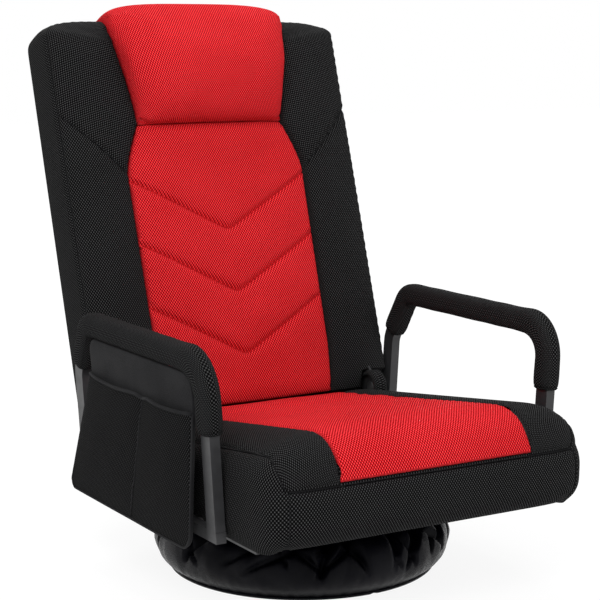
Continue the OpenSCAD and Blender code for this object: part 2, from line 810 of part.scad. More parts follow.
// Outline of the pouch in Y and Z, drawn in by an inset
function pouch_outline(inset, mouth) = concat(
    [[-pouch_front + inset, mouth]],
    [for (a = [180 : 18 : 270])
        [-pouch_front + pouch_corner_f + 12, pouch_low + pouch_corner_f] + polar(pouch_corner_f - inset, a)],
    [for (a = [270 : 18 : 360])
        [-pouch_front + pouch_w + pouch_lean / 2 - pouch_corner_r + 6, pouch_low + pouch_corner_r]
            + polar(pouch_corner_r - inset, a)],
    [[-pouch_front + pouch_w - pouch_lean / 2 - 2 - inset, mouth]]
);

module pouch_block(inset, mouth, from, to, taper) {
    hull() {
        side_plate(-1, from, from + 0.5) polygon(pouch_outline(inset, mouth));
        side_plate(-1, to - 0.5, to) polygon(pouch_outline(inset + taper, mouth));
    }
}

pouch_in = pocket_x + backing_t + seat_gap;
divider_y = -pouch_front + pouch_w * 0.41;
divider_lean = 15;

module pocket_pouch() {
    color([0.11, 0.11, 0.11]) at_crease() difference() {
        pouch_block(0, pouch_high, pouch_in, pouch_in + pouch_t, 5);
        difference() {
            pouch_block(cloth_t, pouch_high + 30, pouch_in - 5, pouch_in + pouch_t - cloth_t, 5);
            translate([-pouch_in - pouch_t, divider_y, pouch_high]) rotate([divider_lean, 0, 0])
                translate([0, -cloth_t / 2, -pouch_high])
                    cube([pouch_t, cloth_t, pouch_high + 40]);
        }
    }
}

backing_gap = 3;
backing_top = arm_h - sleeve_y / 2 - seat_gap;

module pocket_backing() {
    front = -front_post + sleeve_y / 2 + backing_gap;
    rear = corner_y - rear_tangent - 12;
    round_f = front_bend - sleeve_y / 2 - backing_gap;
    low = pouch_outline(0, pouch_high);
    color([0.07, 0.07, 0.07]) at_crease() side_plate(-1, pocket_x, pocket_x + backing_t)
        polygon(concat(
            [for (a = [90 : 15 : 180]) [front + round_f, backing_top - round_f] + polar(round_f, a)],
            [for (p = low) p],
            [[rear + 16, backing_top - 16], [rear + 10, backing_top - 4], [rear, backing_top]]
        ));
}

// Heel: cloth that closes the corner behind the seat, from the seat's underside to the back

heel_t = 2;
heel_low_r = crease_h - seat_under - 3;
heel_high_r = back_t - 8;
heel_turn = 90 - back_lean;
heel_steps = 12;
heel_side_r = hinge_r + 8;

function heel_point(i, inset) =
    polar(heel_low_r + (heel_high_r - heel_low_r) * i / heel_steps - inset,
          -90 + heel_turn * i / heel_steps);

module heel_gusset() {
    half = back_w / 2 - 1;
    color([0.09, 0.09, 0.1]) at_crease() translate([0, 0, crease_h]) {
        side_plate(1, -half, half) polygon(concat(
            [for (i = [0 : heel_steps]) heel_point(i, 0)],
            [for (i = [heel_steps : -1 : 0]) heel_point(i, heel_t)]
        ));
        for (s = [-1, 1]) side_plate(s, half - heel_t, half) polygon(concat(
            [for (i = [0 : heel_steps]) heel_point(i, 0)],
            [for (i = [heel_steps : -1 : 0]) polar(heel_side_r, -90 + heel_turn * i / heel_steps)]
        ));
    }
}

// Back: drawn upright with its front on Y = 0, then leaned back about the crease

module on_back() {
    at_crease() translate([0, 0, crease_h]) rotate([-back_lean, 0, 0]) children();
}

back_half = back_w / 2 - 1;
frame_room = 50;
frame_x = back_plate_x - back_tube / 2;
frame_top_s = back_len - 46;
frame_corner = 60;

// Half widths of the centre panel and of the headrest at a height s
function panel_half(s) = s <= chevron_low
    ? back_panel_low_w / 2 + (back_panel_w - 8 - back_panel_low_w) / 2 * s / chevron_low
    : s <= pillow_low - chevron_step + 23
        ? back_panel_w / 2 - 4 + 4 * (s - chevron_low) / (pillow_low - chevron_low)
        : back_panel_w / 2 - 1 - (back_panel_w / 2 - 1 - pillow_low_w / 2)
            * pow((s - (pillow_low - chevron_step + 23)) / (chevron_step - 23), 1.4);

function pillow_half(s) =
    let (t = min(1, max(0, (s - pillow_low) / (back_len - 20 - pillow_low))))
    pillow_low_w / 2 + (pillow_top_w - pillow_low_w) / 2 * pow(t, 1.8);

function centre_half(s) = s <= pillow_low ? panel_half(s) : pillow_half(s);

roll_from = back_len - shoulder_roll;

// Front and rear surface of the black cushion at a height s
function back_front(s) = s < 26
    ? 8 * pow(1 - s / 26, 2)
    : s < roll_from ? 0
        : shoulder_roll * (1 - sqrt(max(0, 1 - pow((s - roll_from) / shoulder_roll, 2)))) * 0.9;
function back_rear(s) = s < 12
    ? back_t - 6 * pow(1 - s / 12, 2)
    : s < back_len - 30 ? back_t : back_t - 22 * (1 - sqrt(max(0, 1 - pow((s - back_len + 30) / 30, 2))));
function back_half_w(s) =
    let (from = back_len - shoulder_corner)
    s <= from ? back_half
        : back_half - shoulder_corner + sqrt(max(0, pow(shoulder_corner, 2) - pow(s - from, 2)));

frame_from = 34;
frame_to = back_len - 28;

function centre_floor(s) = s <= pillow_low + 0.5 ? back_front(s) + panel_t
    : s <= frame_to + 4 ? pillow_seat : back_rear(s) - 6;

// Depth of the diagonal shoulder seam at a point on the side panel
function shoulder_seam(x, s) =
    let (t = (x - back_panel_w / 2) / (back_half - back_panel_w / 2),
         line = pillow_low - chevron_step + 22 + 100 * t)
    4 * exp(-pow((s - line) / 9, 2));

function back_section(s) =
    let (w = back_half_w(s), c = centre_half(s), f = back_front(s), r = back_rear(s),
         deep = s > frame_from && s < frame_to ? frame_room : r - 0.2,
         mid = (w + c) / 2, bulge = 7 * min(1, (back_len - s) / 60),
         half = [
            [frame_x + back_tube / 2 + 1, deep],
            [frame_x + back_tube / 2 + 1, r],
            [w - 3.5, r - 2],
            [w - 1, r - 9],
            [w + 1.5, (f + r) / 2],
            [w, f + 16],
            [w - 5, f + 5],
            [w - 18, f - bulge * 0.5 + shoulder_seam(w - 18, s)],
            [mid + 16, f - bulge + shoulder_seam(mid + 16, s)],
            [mid - 12, f - bulge + shoulder_seam(mid - 12, s)],
            [c + 12, f - bulge * 0.5 + shoulder_seam(c + 12, s)],
            [c, f + 2],
            [c, centre_floor(s)]
         ])
    concat([for (p = half) [p[0], p[1], s]], [for (p = reversed(half)) [-p[0], p[1], s]]);

back_steps = concat(
    [0.5, 5, 12, 22, frame_from, frame_from + 0.5],
    [80, 130, 190, 250, 310, 350, 375, 387, 400, 425, 445]
);
back_top_steps = [0.25, 0.5, 0.7, 0.85, 0.95, 1];
back_stations = concat(
    back_steps,
    [pillow_low, pillow_low + 1, 480, 520, 560, roll_from],
    [frame_to - 0.5, frame_to + 0.5, frame_to + 4, frame_to + 5],
    [for (t = [0.55, 0.75, 0.9, 1]) frame_to + 5 + t * (back_len - frame_to - 5)]
);

plate_end = 128;
plate_foot = 40;

// The hinge's back plate, drawn in Y and Z of the upright back
module hinge_back_shape(side, from, to, grow) {
    side_plate(side, from, to) polygon([
        [-13 - grow, 13 + grow], [back_tube_off - 10 - grow, plate_end + grow],
        [back_tube_off + 8 + grow, plate_end + grow], [back_tube_off + 8 + grow, plate_foot - grow],
        [18 + grow, -6 - grow]
    ]);
    side_plate(side, from, to) circle(r = hinge_r - 2 + grow, $fn = 64);
}

back_bolt_s = [70, 112];

module back_cushion() {
    color([0.09, 0.09, 0.1]) on_back() difference() {
        loft([for (s = reversed(back_stations)) back_section(s)]);
        for (s = [-1, 1]) {
            hinge_back_shape(s, back_plate_x - slot_gap, back_plate_x + hinge_t + 2, slot_gap);
            translate([0, 0, -crease_h]) hinge_room(s);
        }
    }
}

chevron_top = chevron_low + 2 * chevron_step;
channels = [for (i = [0 : 2]) chevron_low + i * chevron_step];

panel_from = 1;
panel_to = pillow_low - seat_gap;

// Share of the chevrons' rise in a row: none in the two end rows, which stay flat
function chevron_blend(v) = v < chevron_low ? (v - panel_from) / (chevron_low - panel_from)
    : v <= chevron_top + 4 ? 1 : max(0, (panel_to - v) / (panel_to - chevron_top - 4));

function channel_dent(v) = max([for (c = channels) channel_deep * exp(-pow((v - c) / 6, 2))]);

function puff(v) =
    let (t = (v - chevron_low) / chevron_step)
    3 * pow(abs(sin(180 * t)), 0.8);

function back_panel_section(v) =
    let (front = [for (t = panel_across)
            let (s = v + chevron_rise * chevron_blend(v) * abs(t), w = panel_half(s) - 2 * seat_gap,
                 edge = 1 - pow(t, 4))
            [w * t,
             back_front(s) + 2 + channel_dent(v) - edge * (panel_crown + puff(v)) * min(1, s / pinch),
             s]],
         n = len(front) - 1)
    concat(front, [
        [front[n][0], back_front(front[n][2]) + panel_t - soft_gap, front[n][2]],
        [front[0][0], back_front(front[0][2]) + panel_t - soft_gap, front[0][2]]
    ]);

panel_rows = concat(
    [panel_from, 4, 10, 30, 52],
    [for (c = channels) each [c - 8, c, c + 8, c + chevron_step / 2]],
    [360, 400, 432, 448, panel_to]
);

module back_panel() {
    color([0.8, 0.08, 0.12]) on_back() loft([for (v = panel_rows) back_panel_section(v)]);
}

// Headrest pillow: one outline in Y and Z, widened along the pillow
pillow_top = back_len + pillow_over;
over_s = frame_to + 5 + soft_gap;
pillow_mid = 75;
pillow_high = 115;
pillow_line = [
    [3, pillow_low + seat_gap + 1],
    [-pillow_front * 0.4, pillow_low + 8],
    [-pillow_front * 0.8, pillow_low + 32],
    [-pillow_front, pillow_low + pillow_mid],
    [-pillow_front * 0.95, pillow_low + pillow_high],
    [-pillow_front * 0.8, over_s],
    [-pillow_front * 0.6, over_s + 20],
    [-pillow_front * 0.35, back_len - 2],
    [-pillow_front * 0.05, pillow_top - 10],
    [12, pillow_top - 2],
    [30, pillow_top],
    [48, pillow_top - 4],
    [back_t - 38, pillow_top - 14],
    [back_t - 29, back_len - 2],
    [back_t - 24, over_s + 2],
    [pillow_seat - soft_gap, over_s],
    [pillow_seat - soft_gap, pillow_low + pillow_high],
    [pillow_seat - soft_gap, pillow_low + pillow_mid],
    [pillow_seat - soft_gap, pillow_low + 32],
    [pillow_seat - soft_gap, pillow_low + 8],
    [pillow_seat - soft_gap, pillow_low + seat_gap + 1]
];
pillow_across = [-1, -0.97, -0.9, -0.76, -0.52, -0.26, 0, 0.26, 0.52, 0.76, 0.9, 0.97, 1];

function pillow_section(t) =
    let (full = pow(max(0, 1 - pow(abs(t), 5)), 0.5))
    [for (p = pillow_line)
        let (front = p[0] < 3 ? 3 + (p[0] - 3) * (0.25 + 0.75 * full) : p[0],
             high = p[1] > back_len ? back_len - 6 + (p[1] - back_len + 6) * (0.25 + 0.75 * full) : p[1])
        [(pillow_half(p[1]) - 2 * soft_gap) * t, front, high]];

module headrest_pillow() {
    color([0.8, 0.08, 0.12]) on_back()
        loft([for (t = reversed(pillow_across)) pillow_section(t)], strips = true);
}

// Back frame

module back_frame() {
    bar_d = back_tube - 4;
    corner_s = frame_top_s - frame_corner;
    color("dimgray") on_back() translate([0, back_tube_off, 0]) difference() {
        union() {
            for (s = [-1, 1]) {
                translate([s * frame_x, 0, frame_from + 4])
                    cylinder(d = back_tube, h = corner_s - frame_from - 4, $fn = 32);
                translate([s * (frame_x - frame_corner), 0, corner_s]) rotate([90, 0, 0])
                    rotate([0, 0, s > 0 ? 0 : 90])
                        rotate_extrude(angle = 90, $fn = 96) translate([frame_corner, 0])
                            circle(d = back_tube, $fn = 32);
            }
            across(-frame_x + frame_corner, 0, frame_top_s)
                cylinder(d = back_tube, h = 2 * (frame_x - frame_corner), $fn = 32);
            for (s = [frame_from + 20, 330]) across(-frame_x, 0, s)
                cylinder(d = bar_d, h = 2 * frame_x, $fn = 32);
        }
        for (side = [-1, 1], s = back_bolt_s) across(side * frame_x - drill / 2, 0, s)
            cylinder(r = small_r + bolt_gap, h = drill, $fn = 24);
    }
}

back_straps = [150, 230, 400, 480];

module back_webbing() {
    front = back_tube_off - back_tube / 2 - strap_lift - web_t;
    color("black") on_back() for (s = back_straps)
        translate([-frame_x, front, s - web_w / 2]) cube([2 * frame_x, web_t, web_w]);
}

module hinge_back_plate(side) {
    color("dimgray") on_back() difference() {
        hinge_back_shape(side, back_plate_x, back_plate_x + hinge_t, 0);
        across(side * back_plate_x - drill / 2, 0, 0) cylinder(r = pin_r + run_gap, h = drill, $fn = 48);
        for (s = back_bolt_s) across(side * back_plate_x - drill / 2, back_tube_off, s)
            cylinder(r = small_r + bolt_gap, h = drill, $fn = 24);
    }
}

module hinge_back_plate_left() { hinge_back_plate(1); }
module hinge_back_plate_right() { hinge_back_plate(-1); }

module hinge_back_bolts() {
    color("silver") on_back() for (side = [-1, 1], s = back_bolt_s) translate([0, back_tube_off, s])
        cross_rivet(side, back_plate_x + hinge_t, hinge_t + back_tube, small_r, 5.5, 1.5, 4);
}

rear_cover_t = 3;

module back_rear_cover() {
    half = frame_x + back_tube / 2 + 1 - seat_gap;
    tall = frame_to - frame_from - 1 - 2 * seat_gap;
    color([0.09, 0.09, 0.1]) on_back()
        translate([0, back_t - 1, (frame_from + 0.5 + frame_to - 0.5) / 2])
            rotate([90, 0, 0]) cut_plate(2 * half, tall, rear_cover_t, 6);
}

base_frame();
floor_pads();
lower_swivel_plate();
swivel_balls();
ball_cage();
swivel_rivet();
rivet_washer();
base_bolts();
base_skirt();
skirt_band();
upper_swivel_plate();
swivel_bolts();
seat_frame();
seat_webbing();
dust_cover();
seat_cushion();
seat_panel();
hinge_seat_plate_left();
hinge_seat_plate_right();
hinge_rivets();
hinge_seat_bolts();
arm_frame_left();
arm_frame_right();
arm_sleeve_left();
arm_sleeve_right();
arm_spacers();
arm_bolts();
pocket_backing();
pocket_pouch();
heel_gusset();
hinge_back_plate_left();
hinge_back_plate_right();
hinge_back_bolts();
back_frame();
back_webbing();
back_cushion();
back_panel();
headrest_pillow();
back_rear_cover();
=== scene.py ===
import bmesh
import bpy
import numpy as np
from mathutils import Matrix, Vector
from numpy import (array, clip, cos, exp, interp, linspace, maximum, minimum, pi, radians, sin, sqrt, tan,
                   where)

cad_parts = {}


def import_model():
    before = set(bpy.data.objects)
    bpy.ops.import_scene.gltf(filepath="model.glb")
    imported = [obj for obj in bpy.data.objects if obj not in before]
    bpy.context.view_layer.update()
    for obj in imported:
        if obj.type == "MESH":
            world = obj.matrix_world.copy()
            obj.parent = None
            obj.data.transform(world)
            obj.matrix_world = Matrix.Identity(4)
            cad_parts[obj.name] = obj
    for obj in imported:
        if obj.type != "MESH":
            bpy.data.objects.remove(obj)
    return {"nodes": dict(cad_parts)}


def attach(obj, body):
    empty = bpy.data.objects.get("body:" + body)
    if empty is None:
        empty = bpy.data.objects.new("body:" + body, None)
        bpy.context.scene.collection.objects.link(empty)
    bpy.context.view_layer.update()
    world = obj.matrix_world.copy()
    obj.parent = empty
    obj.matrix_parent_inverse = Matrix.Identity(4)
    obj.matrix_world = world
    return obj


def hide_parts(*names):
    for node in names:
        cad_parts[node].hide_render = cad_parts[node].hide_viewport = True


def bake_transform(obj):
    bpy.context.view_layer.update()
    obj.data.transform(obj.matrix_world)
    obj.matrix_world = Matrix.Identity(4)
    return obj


for name in ("Cube", "Light", "Camera"):
    if name in bpy.data.objects:
        bpy.data.objects.remove(bpy.data.objects[name])

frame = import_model()
bpy.context.view_layer.update()
NODES = frame["nodes"]

# Sizes are in mm, as in the CAD source. u runs forward from the crease along the seat, s up from it along the
# back, and off to the rear from the plane of the back's front.
CREASE_Y, CREASE_Z = 122.0, 221.0
SWIVEL_Y = -24.0
LEAN = radians(17.5)
QUARTER = pi / 2
SIDES = ((1, "left"), (-1, "right"))


# Materials

MAT = {}


def empty_tree(owner):
    owner.use_nodes = True
    owner.node_tree.nodes.clear()
    return owner.node_tree


def new_material(name):
    """A material with one Principled surface: gives its node tree and the surface."""
    MAT[name] = bpy.data.materials.new(name)
    nt = empty_tree(MAT[name])
    surface = add(nt, "BsdfPrincipled", {})
    add(nt, "OutputMaterial", {0: surface.outputs[0]})
    return nt, surface


def fill_in(nt, node, values):
    """Gives the inputs of a node their numbers, colours or links."""
    for key, value in values.items():
        if isinstance(value, bpy.types.NodeSocket):
            nt.links.new(value, node.inputs[key])
        elif isinstance(value, tuple):
            node.inputs[key].default_value = (*value, 1)
        else:
            node.inputs[key].default_value = value


def add(nt, kind, values):
    node = nt.nodes.new("ShaderNode" + kind)
    fill_in(nt, node, values)
    return node


def math_node(nt, operation, *values):
    node = add(nt, "Math", dict(enumerate(values)))
    node.operation = operation
    return node.outputs[0]


def noise(nt, vector, scale, detail=2.0, rough=0.5):
    values = {"Vector": vector, "Scale": scale, "Detail": detail, "Roughness": rough}
    return add(nt, "TexNoise", values).outputs["Fac"]


def ramp(nt, value, start, end, low=0, high=1):
    """A smooth step from low to high while the value goes from start to end."""
    values = {"Value": value, "From Min": start, "From Max": end, "To Min": low, "To Max": high}
    node = add(nt, "MapRange", values)
    node.interpolation_type = "SMOOTHSTEP"
    return node.outputs["Result"]


def mix(nt, share, first, second):
    node = nt.nodes.new("ShaderNodeMix")
    node.data_type = "RGBA"
    fill_in(nt, node, {0: share, 6: first, 7: second})
    return node.outputs[2]


def bump(nt, surface, height, strength, distance):
    node = add(nt, "Bump", {"Strength": strength, "Distance": distance, "Height": height})
    nt.links.new(node.outputs[0], surface.inputs["Normal"])


def coords(nt, kind):
    return nt.nodes.new("ShaderNodeTexCoord").outputs[kind]


def crossing_waves(nt, operation, pitch):
    """The product of a wave along each direction of the UV map, which is in metres."""
    split = add(nt, "SeparateXYZ", {0: coords(nt, "UV")})
    waves = []
    for k in (0, 1):
        angle = math_node(nt, "MULTIPLY", split.outputs[k], 2 * pi / pitch[k])
        waves.append(math_node(nt, operation, angle))
    return math_node(nt, "MULTIPLY", *waves)


MESH_PITCH = (0.0042, 0.0057)


def air_mesh(name, thread, worn, hole, painted_glint):
    """3-D air mesh: knitted threads round staggered holes, with painted glints where the threads cross."""
    nt, surface = new_material(name)
    weave = crossing_waves(nt, "COSINE", MESH_PITCH)
    holes = ramp(nt, weave, 0.0, 0.4)
    # painted highlight: where the threads cross, a paler colour is blended in as a glint
    glint_mask = ramp(nt, weave, -0.35, -0.85)
    obj = coords(nt, "Object")
    tone = ramp(nt, noise(nt, obj, 9, 3), 0.3, 0.7)
    yarn = ramp(nt, noise(nt, obj, 1400, 2), 0.35, 0.65)
    dark = tuple(0.72 * v for v in thread)
    cloth = mix(nt, tone, thread, worn)
    cloth = mix(nt, math_node(nt, "MULTIPLY", yarn, 0.5), cloth, dark)
    cloth = mix(nt, glint_mask, cloth, painted_glint)
    colour = mix(nt, holes, cloth, hole)
    fill_in(nt, surface, {"Base Color": colour, "Roughness": 0.82, "Specular IOR Level": 0.03})
    height = math_node(nt, "SUBTRACT", math_node(nt, "MULTIPLY", yarn, 0.15), holes)
    bump(nt, surface, height, 0.9, 0.0012)


def woven(name, first, second, pitch, rough, depth, sheen=0.0, crease=0.0, gloss=0.05):
    """Plain woven cloth: fine crossing threads with uneven tone, and soft creases."""
    nt, surface = new_material(name)
    weave = crossing_waves(nt, "SINE", (pitch, pitch))
    obj = coords(nt, "Object")
    tone = ramp(nt, noise(nt, obj, 14, 4, 0.6), 0.3, 0.7)
    fill_in(nt, surface, {"Base Color": mix(nt, tone, first, second), "Roughness": rough,
                          "Specular IOR Level": gloss, "Sheen Weight": sheen})
    height = math_node(nt, "MULTIPLY", weave, 0.5)
    if crease:
        creases = math_node(nt, "MULTIPLY", noise(nt, obj, 38, 4, 0.55), crease)
        height = math_node(nt, "ADD", height, creases)
    bump(nt, surface, height, 0.8, depth)


def coated(name, first, second, rough, grain, metallic=0.0, scale=900, coat=0.0, gloss=0.5):
    """Powder coat, plated steel, rubber or moulded plastic: a fine grain and slightly uneven tone."""
    nt, surface = new_material(name)
    obj = coords(nt, "Object")
    tone = ramp(nt, noise(nt, obj, 22, 4, 0.6), 0.35, 0.65)
    worn = ramp(nt, noise(nt, obj, 60, 3), 0.3, 0.7, rough - 0.06, rough + 0.06)
    fill_in(nt, surface, {"Base Color": mix(nt, tone, first, second), "Metallic": metallic, "Roughness": worn,
                          "Specular IOR Level": gloss, "Coat Weight": coat, "Coat Roughness": 0.25})
    bump(nt, surface, noise(nt, obj, scale, 2), 0.35, grain)


# The colours of the thread, worn thread, holes and the painted glints where the threads cross
AIR_MESH = {
    "mesh_black": ((0.0075, 0.0075, 0.0078), (0.0115, 0.0115, 0.0118),
                   (0.0004, 0.0004, 0.0005), (0.072, 0.072, 0.073)),
    # a darker copy of the black mesh with weaker glints: painted shade for the pouch's face, turned from the
    # light
    "mesh_black_shaded": ((0.0055, 0.0055, 0.0057), (0.0085, 0.0085, 0.0087),
                    (0.0006, 0.0006, 0.0007), (0.046, 0.046, 0.047)),
    "mesh_red": ((0.74, 0.010, 0.015), (0.86, 0.018, 0.025), (0.19, 0.001, 0.003), (0.98, 0.085, 0.095)),
}
# Two colours, thread spacing, roughness and weave depth, then sheen, crease and gloss where they aren't usual
WOVEN = {
    "cloth_black": ((0.010, 0.010, 0.011), (0.018, 0.018, 0.019), 0.0016, 0.8, 0.0003, 0.03),
    "skirt_nylon": ((0.0016, 0.0017, 0.0032), (0.0030, 0.0031, 0.0058), 0.0014, 0.27, 0.0003, 0, 1.0, 0.075),
    "webbing": ((0.014, 0.014, 0.015), (0.024, 0.024, 0.025), 0.0022, 0.75, 0.0004),
    # the seam threads are darker than the cloth they lie on: the real thread, with painted shade of the seam
    # grooves
    "thread_black": ((0.006, 0.006, 0.0065), (0.012, 0.012, 0.013), 0.0012, 0.7, 0.0002),
    "thread_red": ((0.42, 0.006, 0.010), (0.52, 0.010, 0.014), 0.0012, 0.7, 0.0002),
}
# Two colours, roughness and grain depth, then metallic, grain scale, coat and gloss where they aren't usual
COATED = {
    "frame_black": ((0.020, 0.020, 0.021), (0.027, 0.027, 0.029), 0.36, 0.00012, 0.0, 1500, 0.05, 0.35),
    "zinc_steel": ((0.55, 0.55, 0.56), (0.66, 0.66, 0.67), 0.33, 0.00005, 1.0, 700),
    "ball_steel": ((0.62, 0.62, 0.64), (0.70, 0.70, 0.71), 0.16, 0.00001, 1.0, 900),
    "pad_rubber": ((0.016, 0.016, 0.016), (0.024, 0.024, 0.024), 0.7, 0.00015),
    "cage_plastic": ((0.72, 0.72, 0.68), (0.80, 0.80, 0.76), 0.45, 0.00005),
}
for make, looks in ((air_mesh, AIR_MESH), (woven, WOVEN), (coated, COATED)):
    for name, look in looks.items():
        make(name, *look)

# CAD pieces that stay in view as they are
CAD_LOOKS = {
    "frame_black": ["base_frame", "seat_frame", "back_frame"]
                   + [part + tag for part in ("arm_frame_", "hinge_seat_plate_", "hinge_back_plate_")
                      for side, tag in SIDES],
    "zinc_steel": ["lower_swivel_plate", "upper_swivel_plate", "swivel_rivet", "rivet_washer", "base_bolts",
                   "swivel_bolts", "hinge_rivets", "hinge_seat_bolts", "hinge_back_bolts", "arm_bolts",
                   "arm_spacers"],
    "ball_steel": ["swivel_balls"],
    "pad_rubber": ["floor_pads"],
    "cage_plastic": ["ball_cage"],
}
for look, names in CAD_LOOKS.items():
    for name in names:
        for slot in NODES[name].material_slots:
            slot.material = MAT[look]


# Mesh helpers

def place(name, data):
    obj = bpy.data.objects.new(name, data)
    bpy.context.scene.collection.objects.link(obj)
    return obj


def smooth(start, end, value):
    t = clip((value - start) / (end - start), 0, 1)
    return t * t * (3 - 2 * t)


def join(*parts):
    """Points from their separate coordinates."""
    return np.stack(np.broadcast_arrays(*parts), -1)


def unit(v):
    """Vectors brought to length 1."""
    return v / maximum(1e-9, np.linalg.norm(v, axis=-1, keepdims=True))


def corners(g):
    return [g[:-1, :-1], g[1:, :-1], g[1:, 1:], g[:-1, 1:]]


def corner_uv(uv):
    return np.stack(corners(uv), 2).reshape(-1, 4, 2)


class Shell:
    """Collects patches of points in mm into one mesh with a UV map in metres."""

    def __init__(self, *first_grid):
        self.points, self.faces, self.uv, self.count = [], [], [], 0
        if first_grid:
            self.grid(*first_grid)

    def grid(self, p, uv, flip=False, uv_pick=()):
        """Rows and columns of points. uv_pick lists masks, each with the UV that counts inside it."""
        rows, cols = p.shape[:2]
        index = self.count + np.arange(rows * cols).reshape(rows, cols)
        quads = np.stack(corners(index), -1).reshape(-1, 4)
        uvs = corner_uv(uv)
        for mask, other in uv_pick:
            picked = np.stack(corners(mask.astype(float)), -1).mean(-1).reshape(-1) > 0.5
            uvs[picked] = corner_uv(other)[picked]
        if flip:
            quads, uvs = quads[:, ::-1], uvs[:, ::-1]
        self.points.append(p.reshape(-1, 3))
        self.faces += [tuple(q) for q in quads.tolist()]
        self.uv.append(uvs.reshape(-1, 2))
        self.count += rows * cols

    def face(self, p):
        """One flat face, with a UV map along its two widest directions."""
        spread = p.max(0) - p.min(0)
        self.faces.append(tuple(range(self.count, self.count + len(p))))
        self.points.append(p)
        self.uv.append(p[:, sorted(np.argsort(spread)[1:])])
        self.count += len(p)

    def closed(self, rings, uv):
        """Rings that end where they begin, with a face at each end."""
        self.grid(rings, uv)
        self.face(rings[0, :-1])
        self.face(rings[-1, :-1])

    def build(self, name, material, outward=True):
        """The object: points that meet are welded, and a closed piece gets its normals turned outwards."""
        me = bpy.data.meshes.new(name)
        me.from_pydata((np.concatenate(self.points) * 0.001).tolist(), [], self.faces)
        layer = me.uv_layers.new(name="UVMap")
        layer.data.foreach_set("uv", (np.concatenate(self.uv) * 0.001).astype(np.float32).ravel())
        me.materials.append(MAT[material])
        bm = bmesh.new()
        bm.from_mesh(me)
        big = [f for f in bm.faces if len(f.verts) > 4]
        if big:
            bmesh.ops.triangulate(bm, faces=big)
        bmesh.ops.remove_doubles(bm, verts=bm.verts, dist=0.03 * 0.001)
        bmesh.ops.dissolve_degenerate(bm, edges=bm.edges, dist=1e-6)
        if outward:
            bmesh.ops.recalc_face_normals(bm, faces=bm.faces)
        bm.to_mesh(me)
        bm.free()
        me.polygons.foreach_set("use_smooth", [True] * len(me.polygons))
        me.update()
        return place(name, me)


def points_of(obj):
    """The points of an object in mm, and their normals."""
    verts = obj.data.vertices
    places = np.zeros(len(verts) * 3, np.float32)
    normals = np.zeros_like(places)
    verts.foreach_get("co", places)
    verts.foreach_get("normal", normals)
    return places.reshape(-1, 3).astype(float) * 1000, normals.reshape(-1, 3).astype(float)


def set_points(obj, p):
    obj.data.vertices.foreach_set("co", (p * 0.001).astype(np.float32).ravel())
    obj.data.update()


def arc_len(line):
    """The length along a line, or along each column of a grid, at each of its points."""
    steps = np.linalg.norm(np.diff(line, axis=0), axis=-1)
    return np.concatenate([0 * steps[:1], np.cumsum(steps, axis=0)])


def arc(x, y, r, start, end, count):
    """Points along a circle, between two angles in degrees."""
    return [(x + r * cos(a), y + r * sin(a)) for a in radians(linspace(start, end, count))]


def even(line, step):
    """The same line with evenly spaced points."""
    line = np.asarray(line, float)
    run = arc_len(line)
    t = linspace(0, run[-1], max(2, int(round(run[-1] / step)) + 1))
    return join(*(interp(t, run, v) for v in line.T))


def near(p, line):
    """For each point, the distance to a line of points and the length along it."""
    line = even(line, 2.5)
    run = arc_len(line)
    reach, pairs_at_once = 30, 4000000
    dist, at = np.full(len(p), 1e3), np.zeros(len(p))
    inside = where(((p > line.min(0) - reach) & (p < line.max(0) + reach)).all(1))[0]
    for part in np.array_split(inside, max(1, len(inside) * len(line) // pairs_at_once + 1)):
        if len(part):
            d = np.linalg.norm(p[part][:, None] - line[None], axis=2)
            k = d.argmin(1)
            dist[part], at[part] = d[np.arange(len(part)), k], run[k]
    return dist, at


PUCKER_WAVE, PUCKER_DRIFT = 15.0, 37.0
PUCKER_AWAY, PUCKER_WIDE = 6.5, 5.5


def sew(obj, lines, depth=2.6, width=3.4, pucker=0.45, seed=0.0):
    """Draws the cloth in along its seams, with the small puckers that a seam makes beside it."""
    p, n = points_of(obj)
    move = np.zeros(len(p))
    for k, line in enumerate(lines):
        d, s = near(p, line)
        move -= depth * exp(-(d / width) ** 2)
        phase = seed + 1.7 * k
        ripple = sin(2 * pi * s / PUCKER_WAVE + phase + 1.3 * sin(s / PUCKER_DRIFT + phase))
        move += pucker * ripple * exp(-((d - PUCKER_AWAY) / PUCKER_WIDE) ** 2)
    set_points(obj, p + n * maximum(move, -depth * 1.15)[:, None])


def snap(obj, line):
    """The line moved to the nearest points of the sewn piece, and just clear of them."""
    p, n = points_of(obj)
    clear = 0.1
    out = []
    for q in even(line, 3.0):
        d = np.linalg.norm(p - q, axis=1)
        k = np.argsort(d)[:6]
        share = 1 / (d[k] + 0.3)
        share /= share.sum()
        normal = unit((n[k] * share[:, None]).sum(0))
        out.append(q + normal * (((p[k] - q) @ normal * share).sum() + clear))
    return array(out)


def tube(shell, line, radius, sides=6):
    """A round cord along a line of points, drawn in at its ends."""
    t = unit(np.gradient(line, axis=0))
    a = unit(np.cross(t, [0.13, 0.31, 0.94]))
    b = np.cross(t, a)
    ang = linspace(0, 2 * pi, sides + 1)
    r = np.full((len(line), 1, 1), radius)
    r[0] = r[-1] = radius * 0.4
    wheel = a[:, None] * cos(ang)[:, None] + b[:, None] * sin(ang)[:, None]
    shell.closed(line[:, None] + r * wheel, join(ang * radius, arc_len(line)[:, None]))


def piece(obj, body, slot, *replaced, fill=None):
    if body:
        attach(obj, body)
    if replaced:
        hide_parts(*replaced)


def threads(name, body, colour, obj, lines, radius=0.75):
    """The sewn seam lines on a piece, as thin cords lying in its grooves, coloured darker than the cloth:
    partly the thread's own colour, partly painted shade of the grooves.
    """
    shell = Shell()
    for line in lines:
        tube(shell, snap(obj, line), radius)
    piece(shell.build(name, "thread_" + colour), body, "mesh_" + colour)


